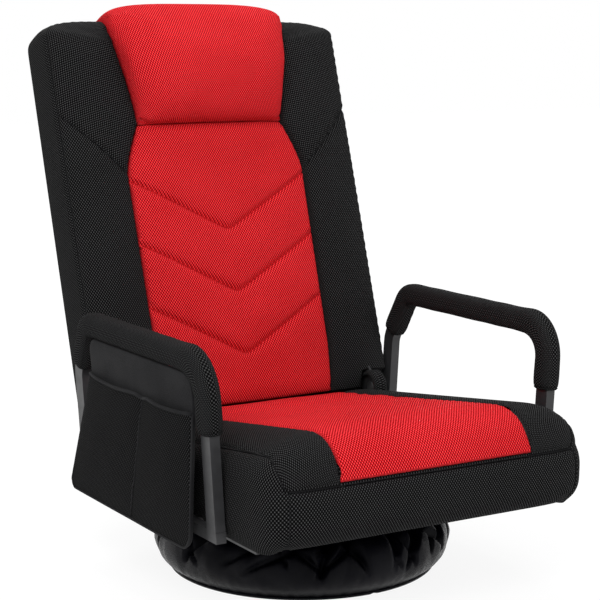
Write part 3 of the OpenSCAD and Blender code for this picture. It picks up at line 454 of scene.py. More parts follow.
def on_back(x, off, s):
    """Points of the upright back, leaned back about the crease."""
    y = CREASE_Y + s * sin(LEAN) + off * cos(LEAN)
    z = CREASE_Z + s * cos(LEAN) - off * sin(LEAN)
    return join(x, y, z)


def on_seat(x, u, z):
    return join(x, CREASE_Y - u, z)


def panel_slab(name, front, back, material, uv):
    """A padded panel from its front and back grids, with a wall round them."""
    shell = Shell(front, uv)
    shell.grid(back, uv, flip=True)
    for edge in ((0,), (-1,), (slice(None), 0), (slice(None), -1)):
        f, g = front[edge], back[edge]
        shell.grid(array([f, f * 0.5 + g * 0.5, g]), join(arc_len(f), linspace(0, 24, 3)[:, None]))
    return shell.build(name, material)


class Rim:
    """Rows of points round a cushion. A row runs along one side, round its corner, across the middle, and
    back along the other side. From the sides to the middle a falls from 1 to 0, and b and w rise to 1."""

    def __init__(self, side, middle_x, corner_n, half_x, half_s, power):
        self.side_n, self.corner_n, self.middle_n = len(side), corner_n, len(middle_x)
        self.end = side[-1]
        t = linspace(0, QUARTER, 1200)
        curve = join(cos(t) ** (2 / power), sin(t) ** (2 / power))
        run = arc_len(curve * [half_x, half_s])
        t = linspace(0, run[-1], corner_n)
        self.a = self.row(1, interp(t, run, curve[:, 0]), 0)
        self.b = self.row(0, interp(t, run, curve[:, 1]), 1)
        self.way = np.arange(corner_n) / (corner_n - 1)
        self.s = self.row(side, self.end, self.end)
        self.x_middle = self.row(0, 0, middle_x)
        count = self.side_n + corner_n - 1
        self.sign = np.r_[np.ones(count), np.zeros(self.middle_n), -np.ones(count)]
        self.mid = self.sign == 0
        slope_x, slope_s = self.a ** (power - 1) / half_x, self.b ** (power - 1) / half_s
        size = np.hypot(slope_x, slope_s)
        self.nx, self.ns = self.sign * slope_x / size, slope_s / size
        self.w = smooth(0.05, 0.95, np.arctan2(self.ns, abs(self.nx)) / QUARTER)

    def row(self, side, corner, middle):
        """The values of a row, the same on both sides."""
        side, corner = np.full(self.side_n, side), np.full(self.corner_n, corner)
        return np.r_[side, corner[1:], np.full(self.middle_n, middle), corner[::-1][:-1], side[::-1]]

    def across(self, half):
        """x of a row with this half width on its sides."""
        return self.x_middle + self.sign * half

    def turned(self, side, middle):
        return side * (1 - self.w) + middle * self.w

    def recess(self, side, half, narrow, reach):
        """x and s of a row in the frame's recess, narrower past the corner and reaching beyond the end."""
        x = where(self.way < 0.3, half, half - narrow * (self.way - 0.3) / 0.7)
        s = where(self.way < 0.3, self.end + reach * self.way / 0.3, self.end + reach)
        return self.row(half, x, 0) * self.sign + self.x_middle, self.row(side, s, self.end + reach)


def wall_map(rows, outline, seam_row):
    """UV of the walls: the way round, and the way up from the seam."""
    rise = arc_len(rows)
    return join(arc_len(outline), rise - rise[seam_row])


def unrolled(rows, plan, start):
    """UV of the top: the way along each column, laid out in plan from its inner end."""
    return start + arc_len(rows[::-1])[::-1, :, None] * unit(plan)


def close_inner(shell, last, side_count):
    """Closes the last row with strips from side to side and one face across the rounded end."""
    across = np.stack([last, last[::-1]], 1)
    for i in range(side_count - 1):
        shell.grid(across[i:i + 2], np.zeros((2, 2, 2)))
    shell.face(last[side_count - 1:len(last) - side_count + 1])


# Seat cushion

PANEL = 156.0  # half width of the red panel
ROLL, RISE = 425.0, 58.0  # where the front roll begins, and how far the seat rises up to there
SEAT_SIDE, SEAT_ROLL = 106, 80  # half axes of the rounded corner
SEAT_POWER, ROLL_POWER = 3.85, 2.1
LOW_Z = 136.0
SIDE_Z, FRONT_LOW_Z, FRONT_Z = 166, 180, 220  # foot of the side wall, foot and seam of the front
FRONT_OUT = 12  # how far the front border stands out
SIDE_ARC = radians(56.6)
# Ripples of the red panel: distance from the crease, depth and half width
SEAT_RIPPLES = ((36, 3.4, 9), (76, 5.0, 11), (122, 5.2, 12), (176, 3.6, 14), (262, 1.4, 16))


def seat_plane(u):
    """Height of the black top before its front roll."""
    return CREASE_Z + RISE * u / ROLL - 8 * maximum(0, 1 - u / 22) ** 2 - 1


def seat_top(u):
    b = clip((u - ROLL) / SEAT_ROLL, 0, 1)
    rolled = FRONT_Z + (seat_plane(u) - FRONT_Z) * sqrt(maximum(0, 1 - b ** ROLL_POWER))
    return where(b > 0, rolled, seat_plane(u))


def panel_sink(u):
    """How deep the room for the red panel is."""
    return 25 - 21 * clip((u - ROLL) / SEAT_ROLL, 0, 1) ** 2


def seat_shell():
    half = PANEL - 1.5
    u_side = linspace(0.5, ROLL, 108)
    rim = Rim(u_side, linspace(half, -half, 79), 46, SEAT_SIDE, SEAT_ROLL, SEAT_POWER)
    wide_x, wide_u = rim.across(PANEL + SEAT_SIDE * rim.a), rim.s + SEAT_ROLL * rim.b
    turned = rim.turned
    base = turned(LOW_Z + 0.6 * (seat_plane(rim.s) + 1 - LOW_Z), FRONT_Z)
    half_up = (SIDE_Z + base) / 2

    def wall(d, z):
        return on_seat(wide_x + rim.nx * d, wide_u + rim.ns * d, z)

    def crest(rho, k=slice(None)):
        """Black top at a share of the way from the red panel to the edge."""
        u = rim.s[k] + SEAT_ROLL * rim.b[k] * rho
        z = base[k] + (seat_plane(u) - base[k]) * sqrt(1 - rho ** ROLL_POWER)
        z = z + 2.5 * sin(pi * rho) * (1 - 0.6 * rim.w[k])
        return rim.sign[k] * (PANEL + SEAT_SIDE * rim.a[k] * rho), u, z

    # the bottom: a ring in the frame's recess, then outwards and up the wall
    ring_x, ring_u = rim.recess(u_side, 249, 94.5, 21)
    rows = [on_seat(ring_x, ring_u, z) for z in (156.5, 150, 144)]
    under = []
    for phi in linspace(1, 0, 16):
        side, front = phi * SIDE_ARC, phi * QUARTER
        d = turned(-24 + 24 * cos(side), -32 + 44 * cos(front))
        drop = sin(side) / sin(SIDE_ARC)
        under.append(wall(d, turned(SIDE_Z - 35 * drop, FRONT_LOW_Z - 44 * sin(front))))
    ring = on_seat(ring_x, ring_u, turned(131, LOW_Z))
    for t in linspace(0, 1, 8)[:-1]:
        rows.append(ring * (1 - t) + under[0] * t)
    rows += under
    for t in linspace(0, 1, 7)[1:]:
        z = turned(SIDE_Z + (half_up - SIDE_Z) * t, FRONT_LOW_Z + 14 * t)
        rows.append(wall(turned(sin(t * QUARTER), FRONT_OUT), z))
    for t in linspace(0, 1, 12)[1:]:
        front = (1 - t) * QUARTER
        z = turned(half_up + (base - half_up) * t, FRONT_Z - 26 + 26 * cos(front))
        rows.append(wall(turned(cos(t * QUARTER), FRONT_OUT * sin(front)), z))
    seam_row = len(rows) - 1
    turns = linspace(0, QUARTER, 38)[1:]
    for rho in cos(turns):
        x, u, z = crest(rho)
        rows.append(on_seat(rim.x_middle + x, u, where(rim.mid, seat_top(u) - panel_sink(u), z)))
    # inner wall down to the floor under the red panel
    x, y, z = rows[-1].T
    rows.append(join(where(rim.mid, x, rim.sign * (PANEL - 0.8)), y, z - ~rim.mid * panel_sink(rim.s)))
    p = array(rows)

    forward = linspace(0, 517, 300)
    front_run = arc_len(join(forward, seat_top(minimum(forward, 505))))
    start = join(rim.across(PANEL), interp(rim.s, forward, front_run))
    top_uv = unrolled(p, join(rim.sign * SEAT_SIDE * rim.a, SEAT_ROLL * rim.b), start)
    # the side seam runs along the upper roll, then down to the corner
    seam_rho = 0.80 + 0.20 * smooth(0.26, 0.52, rim.row(0, rim.way, 1))
    row_rho = cos(np.r_[np.zeros(seam_row + 1), turns, QUARTER])
    is_top = (np.arange(len(rows))[:, None] > seam_row) & (row_rho[:, None] < seam_rho)
    shell = Shell()
    shell.grid(p, wall_map(p, join(wide_x, wide_u), seam_row), uv_pick=[(is_top, top_uv)])
    shell.face(p[0])
    shell.face(np.concatenate([p[:, 0], p[::-1, -1]]))
    close_inner(shell, p[-1], rim.side_n)

    bend = rim.side_n + int(0.52 * (rim.corner_n - 1))
    lines = [p[seam_row, bend:-bend]]
    for cols in (np.arange(bend), -1 - np.arange(bend)):
        lines.append(on_seat(*crest(seam_rho[cols], cols)))
    lines += [p[10:seam_row + 1, bend], p[10:seam_row + 1, -1 - bend]]
    u = linspace(4, 503, 160)
    lines += [on_seat(side * PANEL, u, seat_top(u)) for side in (1, -1)]
    return shell.build("seat_cover", "mesh_black"), lines


def seat_red():
    u = np.r_[linspace(1, ROLL, 140), ROLL + 79.6 * sin(linspace(0, QUARTER, 42)[1:])][:, None]
    t = linspace(-1, 1, 92)
    rolled = maximum(0, 1 - (u - ROLL) / SEAT_ROLL) ** 0.7
    crown = 7 * where(u < ROLL, minimum(1, u / 110), rolled)
    dent = 0
    for middle, deep, wide in SEAT_RIPPLES:
        dent = dent + deep * exp(-((u - middle - 7 * sin(t * 2 + middle)) / wide) ** 2)
    z = seat_top(u) + crown * (1 - t ** 2) - (1 - 0.7 * t ** 4) * dent
    z += 0.7 * sin(u / 23 + 1.7 * t) * sin(t * 5.1 + u / 61) * (1 - t ** 2)
    x = t * (PANEL - 0.3)
    back = on_seat(x, u, seat_top(u) - panel_sink(u) + 1.2)
    uv = join(t * PANEL, arc_len(join(u, seat_top(u))))
    return panel_slab("seat_centre", on_seat(x, u, z), back, "mesh_red", uv)


seat, SEAMS = seat_shell()
sew(seat, SEAMS, seed=0.4)
piece(seat, "seat", "mesh_black", "seat_cushion", fill=0.75)
red = seat_red()
sew(red, SEAMS[5:], depth=3.2, width=4.0, seed=1.1)
piece(red, "seat", "mesh_red", "seat_panel", fill=0.75)
threads("seat_seam_threads", "seat", "black", seat, SEAMS[:5])


# Back cushion

BACK_W, BACK_TOP = 261.0, 636.0
PILLOW_LOW = 456.0
CHEV_LOW, CHEV_STEP, CHEV_RISE = 78.0, 101.5, 90.0
CHEVRONS_AT = (78, 179.5, 281)
TOP_FROM = 592.0  # where the rounded top begins
BACK_SIDE, BACK_ROUND = 101, 44  # half axes of the rounded corner
BACK_POWER = 3.65
REAR = 100.0
HINGE_X, HINGE_ROOM = 207, 28.6
SHOULDER_TURN = radians(38)


def panel_half(s):
    low = 149 + 7 * s / CHEV_LOW
    mid = 156 + 4 * (s - CHEV_LOW) / (PILLOW_LOW - CHEV_LOW)
    top = 159 - 28 * maximum(0, (s - 377.5) / 78.5) ** 1.4
    return where(s <= CHEV_LOW, low, where(s <= 377.5, mid, top))


def pillow_half(s):
    return 130.5 + 28 * clip((s - PILLOW_LOW) / 160, 0, 1) ** 1.5


def centre_half(s):
    return where(s <= PILLOW_LOW, panel_half(s), pillow_half(s))


def shoulder_line(x):
    return 376.5 + 100 * (abs(x) - 160) / 101


def back_pinch(s):
    return 8 * maximum(0, 1 - s / 26) ** 2


def back_front(a, rho, w, s):
    """How far the black front stands back at a share of the way from the centre panel to the edge."""
    side = 16 * (1 - maximum(0, 1 - rho ** 4) ** 0.25)
    top = 39.6 * (1 - sqrt(maximum(0, 1 - rho ** 2)))
    bulge = minimum(1, maximum(0, BACK_TOP - s) / 60) * sin(pi * clip(a * rho, 0, 1)) ** 0.9
    return side * (1 - w) + top * w - 7.5 * bulge * (1 - 0.7 * w) * smooth(8, 85, s) + back_pinch(s)


def hinge_round(off):
    return sqrt(maximum(0, HINGE_ROOM ** 2 - off ** 2))


def back_shell():
    s_side = np.r_[0.5, 4, 8, 13, 19, 26, linspace(30, TOP_FROM, 144)]
    rim = Rim(s_side, linspace(159.5, -159.5, 81), 34, BACK_SIDE, BACK_ROUND, BACK_POWER)
    wide_s = rim.s + BACK_ROUND * rim.b
    centre = centre_half(wide_s)
    wide_x = rim.across(centre + (BACK_W - centre) * rim.a)
    turned = rim.turned

    def wall(d, off):
        return join(wide_x + rim.nx * d, off, wide_s + rim.ns * d)

    ring_x, ring_s = rim.recess(maximum(s_side, 33), 221.0, 61.5, 14)
    rows = [join(ring_x, off, ring_s) for off in (51.0, 75.0, 95.0)]
    ring_row = len(rows)
    ring = join(ring_x, REAR, ring_s)
    first = wall(turned(-12, -30), REAR)
    for t in linspace(0, 1, 9)[:-1]:
        rows.append(ring * (1 - t) + first * t)
    round_row = len(rows)
    off_rear = turned(91, 78)
    for th in linspace(0, QUARTER, 12):
        d = turned(-12 + 12 * sin(th), -30 + 30 * sin(th))
        rows.append(wall(d, off_rear + (REAR - off_rear) * cos(th)))
    round_end = len(rows)
    off_front = turned(16, 39.6) + back_pinch(wide_s)
    for t in linspace(0, 1, 20)[1:]:
        rows.append(wall(1.8 * sin(pi * t), off_rear + (off_front - off_rear) * t))
    seam_row = len(rows) - 1
    for rho in cos(linspace(0, QUARTER, 34)[1:]):
        s = rim.s + BACK_ROUND * rim.b * rho
        half = centre_half(s)
        x = rim.x_middle * half / 161.0 + rim.sign * (half + (BACK_W - half) * rim.a * rho)
        rows.append(join(x, back_front(rim.a, rho, rim.w, s), s))
    x, off, s = rows[-1].T
    rows.append(join(x * where(rim.mid, 1, 0.994), off + where(rim.mid, 0, 24), s))
    p = array(rows)
    x, off, s = np.moveaxis(p, 2, 0)
    # the top's middle stays clear of the pillow
    under = rim.mid & (off < 77)
    s[under] = minimum(s[under], 612)
    off[under] = maximum(off[under], 45)
    # room for the hinge's rounded caps in the lower corners
    room = (abs(x) > HINGE_X) & (np.hypot(off, s) < HINGE_ROOM)
    s[room] = hinge_round(off[room])

    plan = join(rim.sign * (BACK_W - centre) * rim.a, BACK_ROUND * rim.b)
    face_uv = unrolled(p, plan, join(rim.across(centre_half(rim.s)), rim.s))
    is_face = np.broadcast_to(np.arange(len(rows))[:, None] > seam_row, x.shape)
    is_shoulder = is_face & (s > shoulder_line(x))
    lean_x, lean_s = cos(SHOULDER_TURN), sin(SHOULDER_TURN)
    flat_x, flat_s = abs(face_uv[..., 0]), face_uv[..., 1]
    shoulder_uv = join(np.sign(x) * (flat_x * lean_x + flat_s * lean_s), flat_s * lean_x - flat_x * lean_s)
    shell = Shell()
    q = on_back(x, off, s)
    wall_uv = wall_map(p, join(wide_x, wide_s), seam_row)
    shell.grid(q, wall_uv, uv_pick=[(is_face, face_uv), (is_shoulder, shoulder_uv)])
    shell.face(q[0])
    # lower end: from the front edge to the rear edge, round the rooms for the hinges
    edge = p[seam_row:, 0]
    between = 38
    x = np.r_[edge[:, 0], linspace(edge[-1, 0], -edge[-1, 0], between + 2)[1:-1], -edge[::-1, 0]]
    front = np.r_[edge[:, 1], np.full(between, edge[-1, 1]), edge[::-1, 1]]
    rear = interp(abs(x), p[round_row:round_end, 0, 0], p[round_row:round_end, 0, 1])
    t = linspace(0, 1, 30)[:, None]
    off = front * (1 - t) + rear * t
    low = where((abs(x) > HINGE_X) & (off < HINGE_ROOM), hinge_round(off), 0.5)
    x = x + np.sign(x) * 1.8 * sin(pi * t) * exp(-(edge[0, 0] - abs(x)) / 5)
    shell.grid(on_back(x, off, low), join(x, off + low))
    t = linspace(0, 1, 60)[:, None]
    for low, high in ((0, ring_row), (ring_row, round_row)):
        foot = q[low:high + 1, :1] * (1 - t) + q[low:high + 1, -1:] * t
        shell.grid(foot, join(foot[..., 0], foot[..., 1] + foot[..., 2]))
    close_inner(shell, q[-1], rim.side_n)
    s = linspace(6, 634, 200)
    lines = [on_back(side * centre_half(s), back_front(0, 0, 0, s) + 1, s) for side in (1, -1)]
    x = linspace(163, 258, 50)
    s = shoulder_line(x)
    share = (x - centre_half(s)) / (BACK_W - centre_half(s))
    lines += [on_back(side * x, back_front(1, share, 0, s), s) for side in (1, -1)]
    return shell.build("back_cover", "mesh_black"), lines + [q[seam_row, 3:-3]]


def back_red():
    v = np.unique(linspace(1, 455.7, 150).round(3))
    for at in CHEVRONS_AT:
        v = np.r_[v, at + array([-7.5, -4.5, -2.2, -1, 0, 1, 2.2, 4.5, 7.5])]
    v = np.unique(v)[:, None]
    t = linspace(-1, 1, 105)
    # v runs up the middle, and the rows rise to a V on both sides
    upper = maximum(0, (PILLOW_LOW - v) / (PILLOW_LOW - 285))
    blend = where(v < CHEV_LOW, v / CHEV_LOW, where(v <= 285, 1, upper))
    s = v + CHEV_RISE * blend * (sqrt(t ** 2 + 0.0012) - 0.0346)
    x = t * (panel_half(s) - 0.3)
    dent = np.max([5.2 * exp(-(abs(v - at) / 5.0) ** 1.5) for at in CHEVRONS_AT], 0)
    puff = 3.6 * abs(sin(pi * (v - CHEV_LOW) / CHEV_STEP)) ** 0.75
    fade = where(v > 300, smooth(470, 330, v) * 0.6 + 0.4, 1)
    height = (1 - t ** 4) * (7 + puff * fade) * minimum(1, s / 110)
    waves = sin(v / 11 + 3 * t ** 2) * sin(t * 7.3 + v / 40)
    height += 0.8 * waves * (1 - t ** 2) * minimum(1, s / 80)
    # the panel dips under the pillow's lower edge
    tuck = 6.0 * smooth(441, 455, s)
    front = on_back(x, back_pinch(s) + 2 + dent + tuck - height, s)
    back = on_back(x, back_pinch(s) + 23.5, s)
    obj = panel_slab("back_centre", front, back, "mesh_red", join(x, s))
    return obj, [front[int(np.argmin(abs(v - at))), 1:-1] for at in CHEVRONS_AT]


def spline(points, per):
    """A smooth closed curve through points."""
    b = array(points, float)[:, None]
    a, c, d = (np.roll(b, -k, 0) for k in (-1, 1, 2))
    t = linspace(0, 1, per, endpoint=False)[:, None]
    square = (2 * a - 5 * b + 4 * c - d) * t * t
    return (0.5 * (2 * b + (c - a) * t + square + (3 * b - a - 3 * c + d) * t ** 3)).reshape(-1, 2)


# The pillow's side view as off and s: up the front, over the top and down behind
PILLOW = [(3, 457.3), (-10, 457.8), (-23, 461), (-36, 472), (-46.5, 492), (-53.5, 520), (-54, 551),
          (-48.5, 579), (-38.5, 602), (-27.5, 624), (-12, 644), (5, 657), (28, 661), (50, 656), (64, 645),
          (71, 634), (76, 614), (44, 613), (44, 580), (44, 535), (44, 490), (44, 458)]


def pillow():
    line = spline(PILLOW, 8)
    line = np.r_[line, line[:1]]
    off, s = line.T
    th = linspace(-QUARTER, QUARTER, 74)
    rows = []
    for t in sin(th) * 0.6 + 0.4 * th / QUARTER:
        full = sqrt(max(0, 1 - abs(t) ** 3.6))
        front = where(off < 3, 3 + (off - 3) * (0.12 + 0.88 * full), off)
        high = where(s > BACK_TOP, BACK_TOP - 6 + (s - BACK_TOP + 6) * (0.25 + 0.75 * full), s)
        sag = 1.1 * sin(s / 19 + 4 * t) * (1 - t * t) * (off < 3)
        # the sides swell out half way up, and the lower corners are drawn in and round
        swell = 5.5 * exp(-((high - 560) / 45) ** 2) - 5.0 * smooth(492, 460, high)
        x = (pillow_half(s) - 1.4 + swell * smooth(-8, -30, front)) * t
        lift = 9 * smooth(0.86, 1, abs(t)) * smooth(500, 458, high) * (front < 3)
        rows.append(on_back(x, front + sag, high + lift))
    p = array(rows)
    across = np.r_[0, np.cumsum(np.linalg.norm(np.diff(p, axis=0), axis=2).max(1))]
    shell = Shell()
    shell.closed(p, join(across[:, None], arc_len(line)))
    return shell.build("headrest", "mesh_red")


back, BACK_SEAMS = back_shell()
sew(back, BACK_SEAMS, depth=3.6, width=4.4, pucker=0.6, seed=2.0)
piece(back, "back", "mesh_black", "back_cushion", fill=0.7)
back_mid, CHEVRONS = back_red()
sew(back_mid, BACK_SEAMS[:2], depth=3.4, width=4.0, seed=3.0)
piece(back_mid, "back", "mesh_red", "back_panel", fill=0.75)
threads("back_seam_threads", "back", "black", back, BACK_SEAMS[2:], radius=0.7)
threads("chevron_threads", "back", "red", back_mid, CHEVRONS, radius=0.8)
piece(pillow(), "back", "mesh_red", "headrest_pillow", fill=0.8)


# Rear cover, webbing, heel and dust cover

def slab(name, centre, u, v, w, material="webbing", counts=(40, 8), bend=None):
    """A flat piece of cloth or strap: centre, half sides along u and v, half thickness along w."""
    a, b = linspace(-1, 1, counts[0])[:, None], linspace(-1, 1, counts[1])
    rim = 1 - 0.35 * (smooth(0.97, 1, abs(a)) + smooth(0.97, 1, abs(b))).clip(0, 1)
    base = centre + a[..., None] * u + b[..., None] * v
    if bend:
        base = base + bend(a, b)[..., None] * unit(w)
    uv = join(a * np.linalg.norm(u), b * np.linalg.norm(v))
    return panel_slab(name, base + rim[..., None] * w, base - rim[..., None] * w, material, uv)


def cover_bend(a, b):
    slack = 0.5 * sin(7 * a + 5 * b) * (1 - a * a) * (1 - b * b)
    return 2.2 * (1 - a ** 4) * (1 - b ** 4) + slack


ALONG_X, ALONG_Y, ALONG_Z = np.eye(3)
UP = array([0, sin(LEAN), cos(LEAN)])
REARWARD = array([0, cos(LEAN), -sin(LEAN)])
cover = slab("rear_cover", on_back(0, 97.6, 321), ALONG_X * 220.2, UP * 286.5, REARWARD * 1.3, "mesh_black",
             (90, 110), cover_bend)
piece(cover, "back", "mesh_black", "back_rear_cover", fill=0.2)

# The first strap of each set stands for the whole CAD piece
for i, s in enumerate((150, 230, 400, 480)):
    strap = slab(f"back_strap_{i}", on_back(0, 51.3, s), ALONG_X * 219.5, UP * 25, REARWARD * 0.9)
    piece(strap, "back", "webbing", *(["back_webbing"] if i == 0 else []))
for i, u in enumerate((395, 330, 265, 146)):
    strap = slab(f"seat_strap_{i}", on_seat(0, u, 152.2), ALONG_X * 245.5, ALONG_Y * 25, ALONG_Z * 0.9)
    piece(strap, "seat", "webbing", *(["seat_webbing"] if i == 0 else []))


def dust_cover():
    """A level cloth with a rectangular hole for the swivel plate."""
    shell = Shell()
    half, hole_half = 243.5, 85
    front, rear = CREASE_Y - 440.5, CREASE_Y - 16.5
    hole_front, hole_rear = CREASE_Y - 231, CREASE_Y - 61
    side = linspace(hole_half, half, 20)
    xs = np.unique(np.r_[-side, linspace(-hole_half, hole_half, 20), side])
    ys = np.unique(np.r_[linspace(front, hole_front, 22), linspace(hole_front, hole_rear, 18),
                         linspace(hole_rear, rear, 7)])
    x = xs[:, None]
    p = join(x, ys, 124.9 - 0.7 * sin(x / 31) * sin(ys / 27))
    for i in range(len(xs) - 1):
        for j in range(len(ys) - 1):
            patch = p[i:i + 2, j:j + 2]
            x, y = patch[..., :2].mean((0, 1))
            if abs(x) >= hole_half or not hole_front < y < hole_rear:
                shell.grid(patch, patch[..., :2])
    return shell.build("under_cover", "cloth_black", outward=False)


under = dust_cover()
piece(under, "seat", "cloth_black", "dust_cover")


def heel():
    """Loose cloth that closes the corner behind the seat: an arc about the crease with soft folds."""
    low, high = radians(-90), radians(-17.5)
    a, x = linspace(low, high, 46)[:, None], linspace(-259, 259, 120)
    t = (a - low) / (high - low)
    r = 82 + 10 * t - 0.8 + 1.1 * sin(x / 17 + 3 * t) * sin(pi * t)
    p = join(x, CREASE_Y + r * cos(a), CREASE_Z + r * sin(a))
    shell = Shell(p, join(x, r * a))
    for side in (0, -1):
        edge = p[:, side]
        mid = array([edge[0, 0], CREASE_Y, CREASE_Z])
        inner = mid + 30 * unit(edge - mid)
        gore = array([edge * (1 - k) + inner * k for k in linspace(0, 1, 14)])
        shell.grid(gore, gore[..., 1:])
    return shell.build("heel_cloth", "cloth_black", outward=False)


# Distance from the middle and radius of each ring of a hinge's cloth cap
CAP_RINGS = ((212.6, 20), (212.4, 23), (213.2, 25), (215, 26.2), (220, 26.8), (229, 26.8), (234, 26.2),
             (235.8, 25), (236.4, 23), (236.2, 20))


def hinge_cap(side, tag):
    """Rounded cloth over the hinge's discs, where the seat and the back meet."""
    ang = radians(linspace(-15, 255, 64))
    rows = []
    for x, radius in CAP_RINGS:
        r = radius + 0.4 * sin(ang * 5)
        rows.append(join(side * x, CREASE_Y + r * cos(ang), CREASE_Z + r * sin(ang)))
    shell = Shell(array(rows), join(ang * 27, np.arange(10.0)[:, None] * 4))
    piece(shell.build("hinge_cap_" + tag, "mesh_black", outward=False), "seat", "mesh_black")


for side, tag in SIDES:
    hinge_cap(side, tag)
heel_cloth = heel()
piece(heel_cloth, None, "cloth_black", "heel_gusset")
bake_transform(heel_cloth)


# Arm sleeves

ARM_X, BAR_H, SPLAY = 272.0, 138.5, radians(3.5)
ARM_TOP = (373 - BAR_H) / cos(SPLAY)
SLANT = radians(29)
FRONT_Y, REAR_Y = -380.0, -14.0
FRONT_BEND, REAR_BEND = 50.0, 28.0
POST_W, POST_D, GROW_W, GROW_D = 8.6, 13.6, 6.9, 3.9
SLEEVE_STRETCH = 1.3


def arm_path():
    """Forward place, height and outward angle along a sleeve, from the front post to the rear one."""
    front = array([FRONT_Y + FRONT_BEND, ARM_TOP - FRONT_BEND])
    rear = array([REAR_Y - REAR_BEND * tan((QUARTER - SLANT) / 2), ARM_TOP - REAR_BEND])
    low = (280 - BAR_H) / cos(SPLAY)
    path = [(FRONT_Y, z, pi) for z in linspace(low, ARM_TOP - FRONT_BEND, 14)[:-1]]
    for a in linspace(pi, QUARTER, 18):
        path.append((*(front + FRONT_BEND * array([cos(a), sin(a)])), a))
    for y in linspace(front[0], rear[0], 56)[1:-1]:
        path.append((y, ARM_TOP, QUARTER))
    for a in linspace(QUARTER, SLANT, 10):
        path.append((*(rear + REAR_BEND * array([cos(a), sin(a)])), a))
    end = array(path[-1][:2])
    for d in linspace(0, 58, 13)[1:]:
        path.append((*(end + d * array([sin(SLANT), -cos(SLANT)])), SLANT))
    return array(path)


def sleeve(side, tag):
    path = arm_path()
    run = arc_len(path[:, :2])
    count = 48
    q = linspace(0, 2 * pi, count + 1)
    round_x, round_out = (np.sign(v) * abs(v) ** (2 / 3.2) for v in (cos(q), sin(q)))
    lean = side * SPLAY
    rows, along = [], []

    def ring(way, y, z, a, w, d):
        along.append(way)
        x, out = w * round_x, d * round_out
        up = z + out * sin(a)
        splayed = x * cos(lean) + up * sin(lean)
        height = -x * sin(lean) + up * cos(lean)
        rows.append(join(side * ARM_X + splayed, CREASE_Y + (y + out * cos(a)), BAR_H + height))

    # each end closes in on the post
    for lift, f in ((12, 0.0), (0, 0.0), (-1.5, 0.55), (0.6, 0.86)):
        y, z, a = path[0]
        ring(4 * len(rows) - 16, y, z + lift, a, POST_W + GROW_W * f, POST_D + GROW_D * f)
    for i, (y, z, a) in enumerate(path):
        puff = 1 - 0.10 * exp(-min(run[i], run[-1] - run[i]) / 5)
        wave = 1 + 0.012 * sin(run[i] / 13 + 0.8 * sin(run[i] / 31))
        bend = 1.2 * exp(-((run[i] - 110) / 26) ** 2)
        z += 3 * (i == 0)
        ring(run[i] * SLEEVE_STRETCH, y, z, a, 15.6 * puff * wave, (17.7 + bend) * puff * wave)
    for out, f in ((0.9, 0.55), (0, 0.0), (-12, 0.0)):
        y, z, a = path[-1] + array([sin(SLANT), -cos(SLANT), 0]) * out
        way = run[-1] * SLEEVE_STRETCH + 0.4 * (len(rows) + 1)
        ring(way, y, z, a, POST_W + GROW_W * f, POST_D + GROW_D * f)
    p = array(rows)
    shell = Shell(p, join(q * 17.5 * SLEEVE_STRETCH, array(along)[:, None]))
    obj = shell.build("sleeve_" + tag, "mesh_black")
    seam = p[5:-4, int(count * 0.75) + 4 * side]
    sew(obj, [seam], depth=1.4, width=2.2, pucker=0.3, seed=side)
    piece(obj, "seat", "mesh_black", "arm_sleeve_" + tag, fill=0.7)
    threads("sleeve_seam_" + tag, "seat", "black", obj, [seam], radius=0.5)


for side, tag in SIDES:
    sleeve(side, tag)


# Side pocket, as forward place and height on the outside of the right armrest

MOUTH_Z = 304
POUCH_EDGE = [(-360, MOUTH_Z)] + arc(-324, 136, 24, 180, 270, 10)
POUCH_EDGE += arc(31, 126, 14, 270, 360, 8) + [(-34, MOUTH_Z)]
# How far in from the outline and how far out from the middle the backing's rings lie
BACKING_RINGS = ((2.6, 290.2), (1.2, 290.2), (0.2, 291.2), (0, 292.6), (0.3, 294), (1.4, 295), (3, 295.2))


def backing():
    loop = arc(-330, 325.7, 29.5, 90, 180, 12) + POUCH_EDGE + [(-26.5, 339.2), (-32.5, 351.2), (-42.5, 355.2)]
    loop = even(array(loop + loop[:1]), 5)[:-1]
    along = unit(np.roll(loop, -1, 0) - np.roll(loop, 1, 0))
    loop, along = np.r_[loop, loop[:1]], np.r_[along, along[:1]]
    rows = []
    for inset, x in BACKING_RINGS:
        q = loop + inset * join(-along[:, 1], along[:, 0])
        rows.append(join(-x, CREASE_Y + q[:, 0], q[:, 1]))
    shell = Shell()
    shell.closed(array(rows), join(arc_len(loop), linspace(0, 9, len(rows))[:, None]))
    piece(shell.build("pocket_back", "cloth_black"), "seat", "cloth_black", "pocket_backing", fill=0.5)


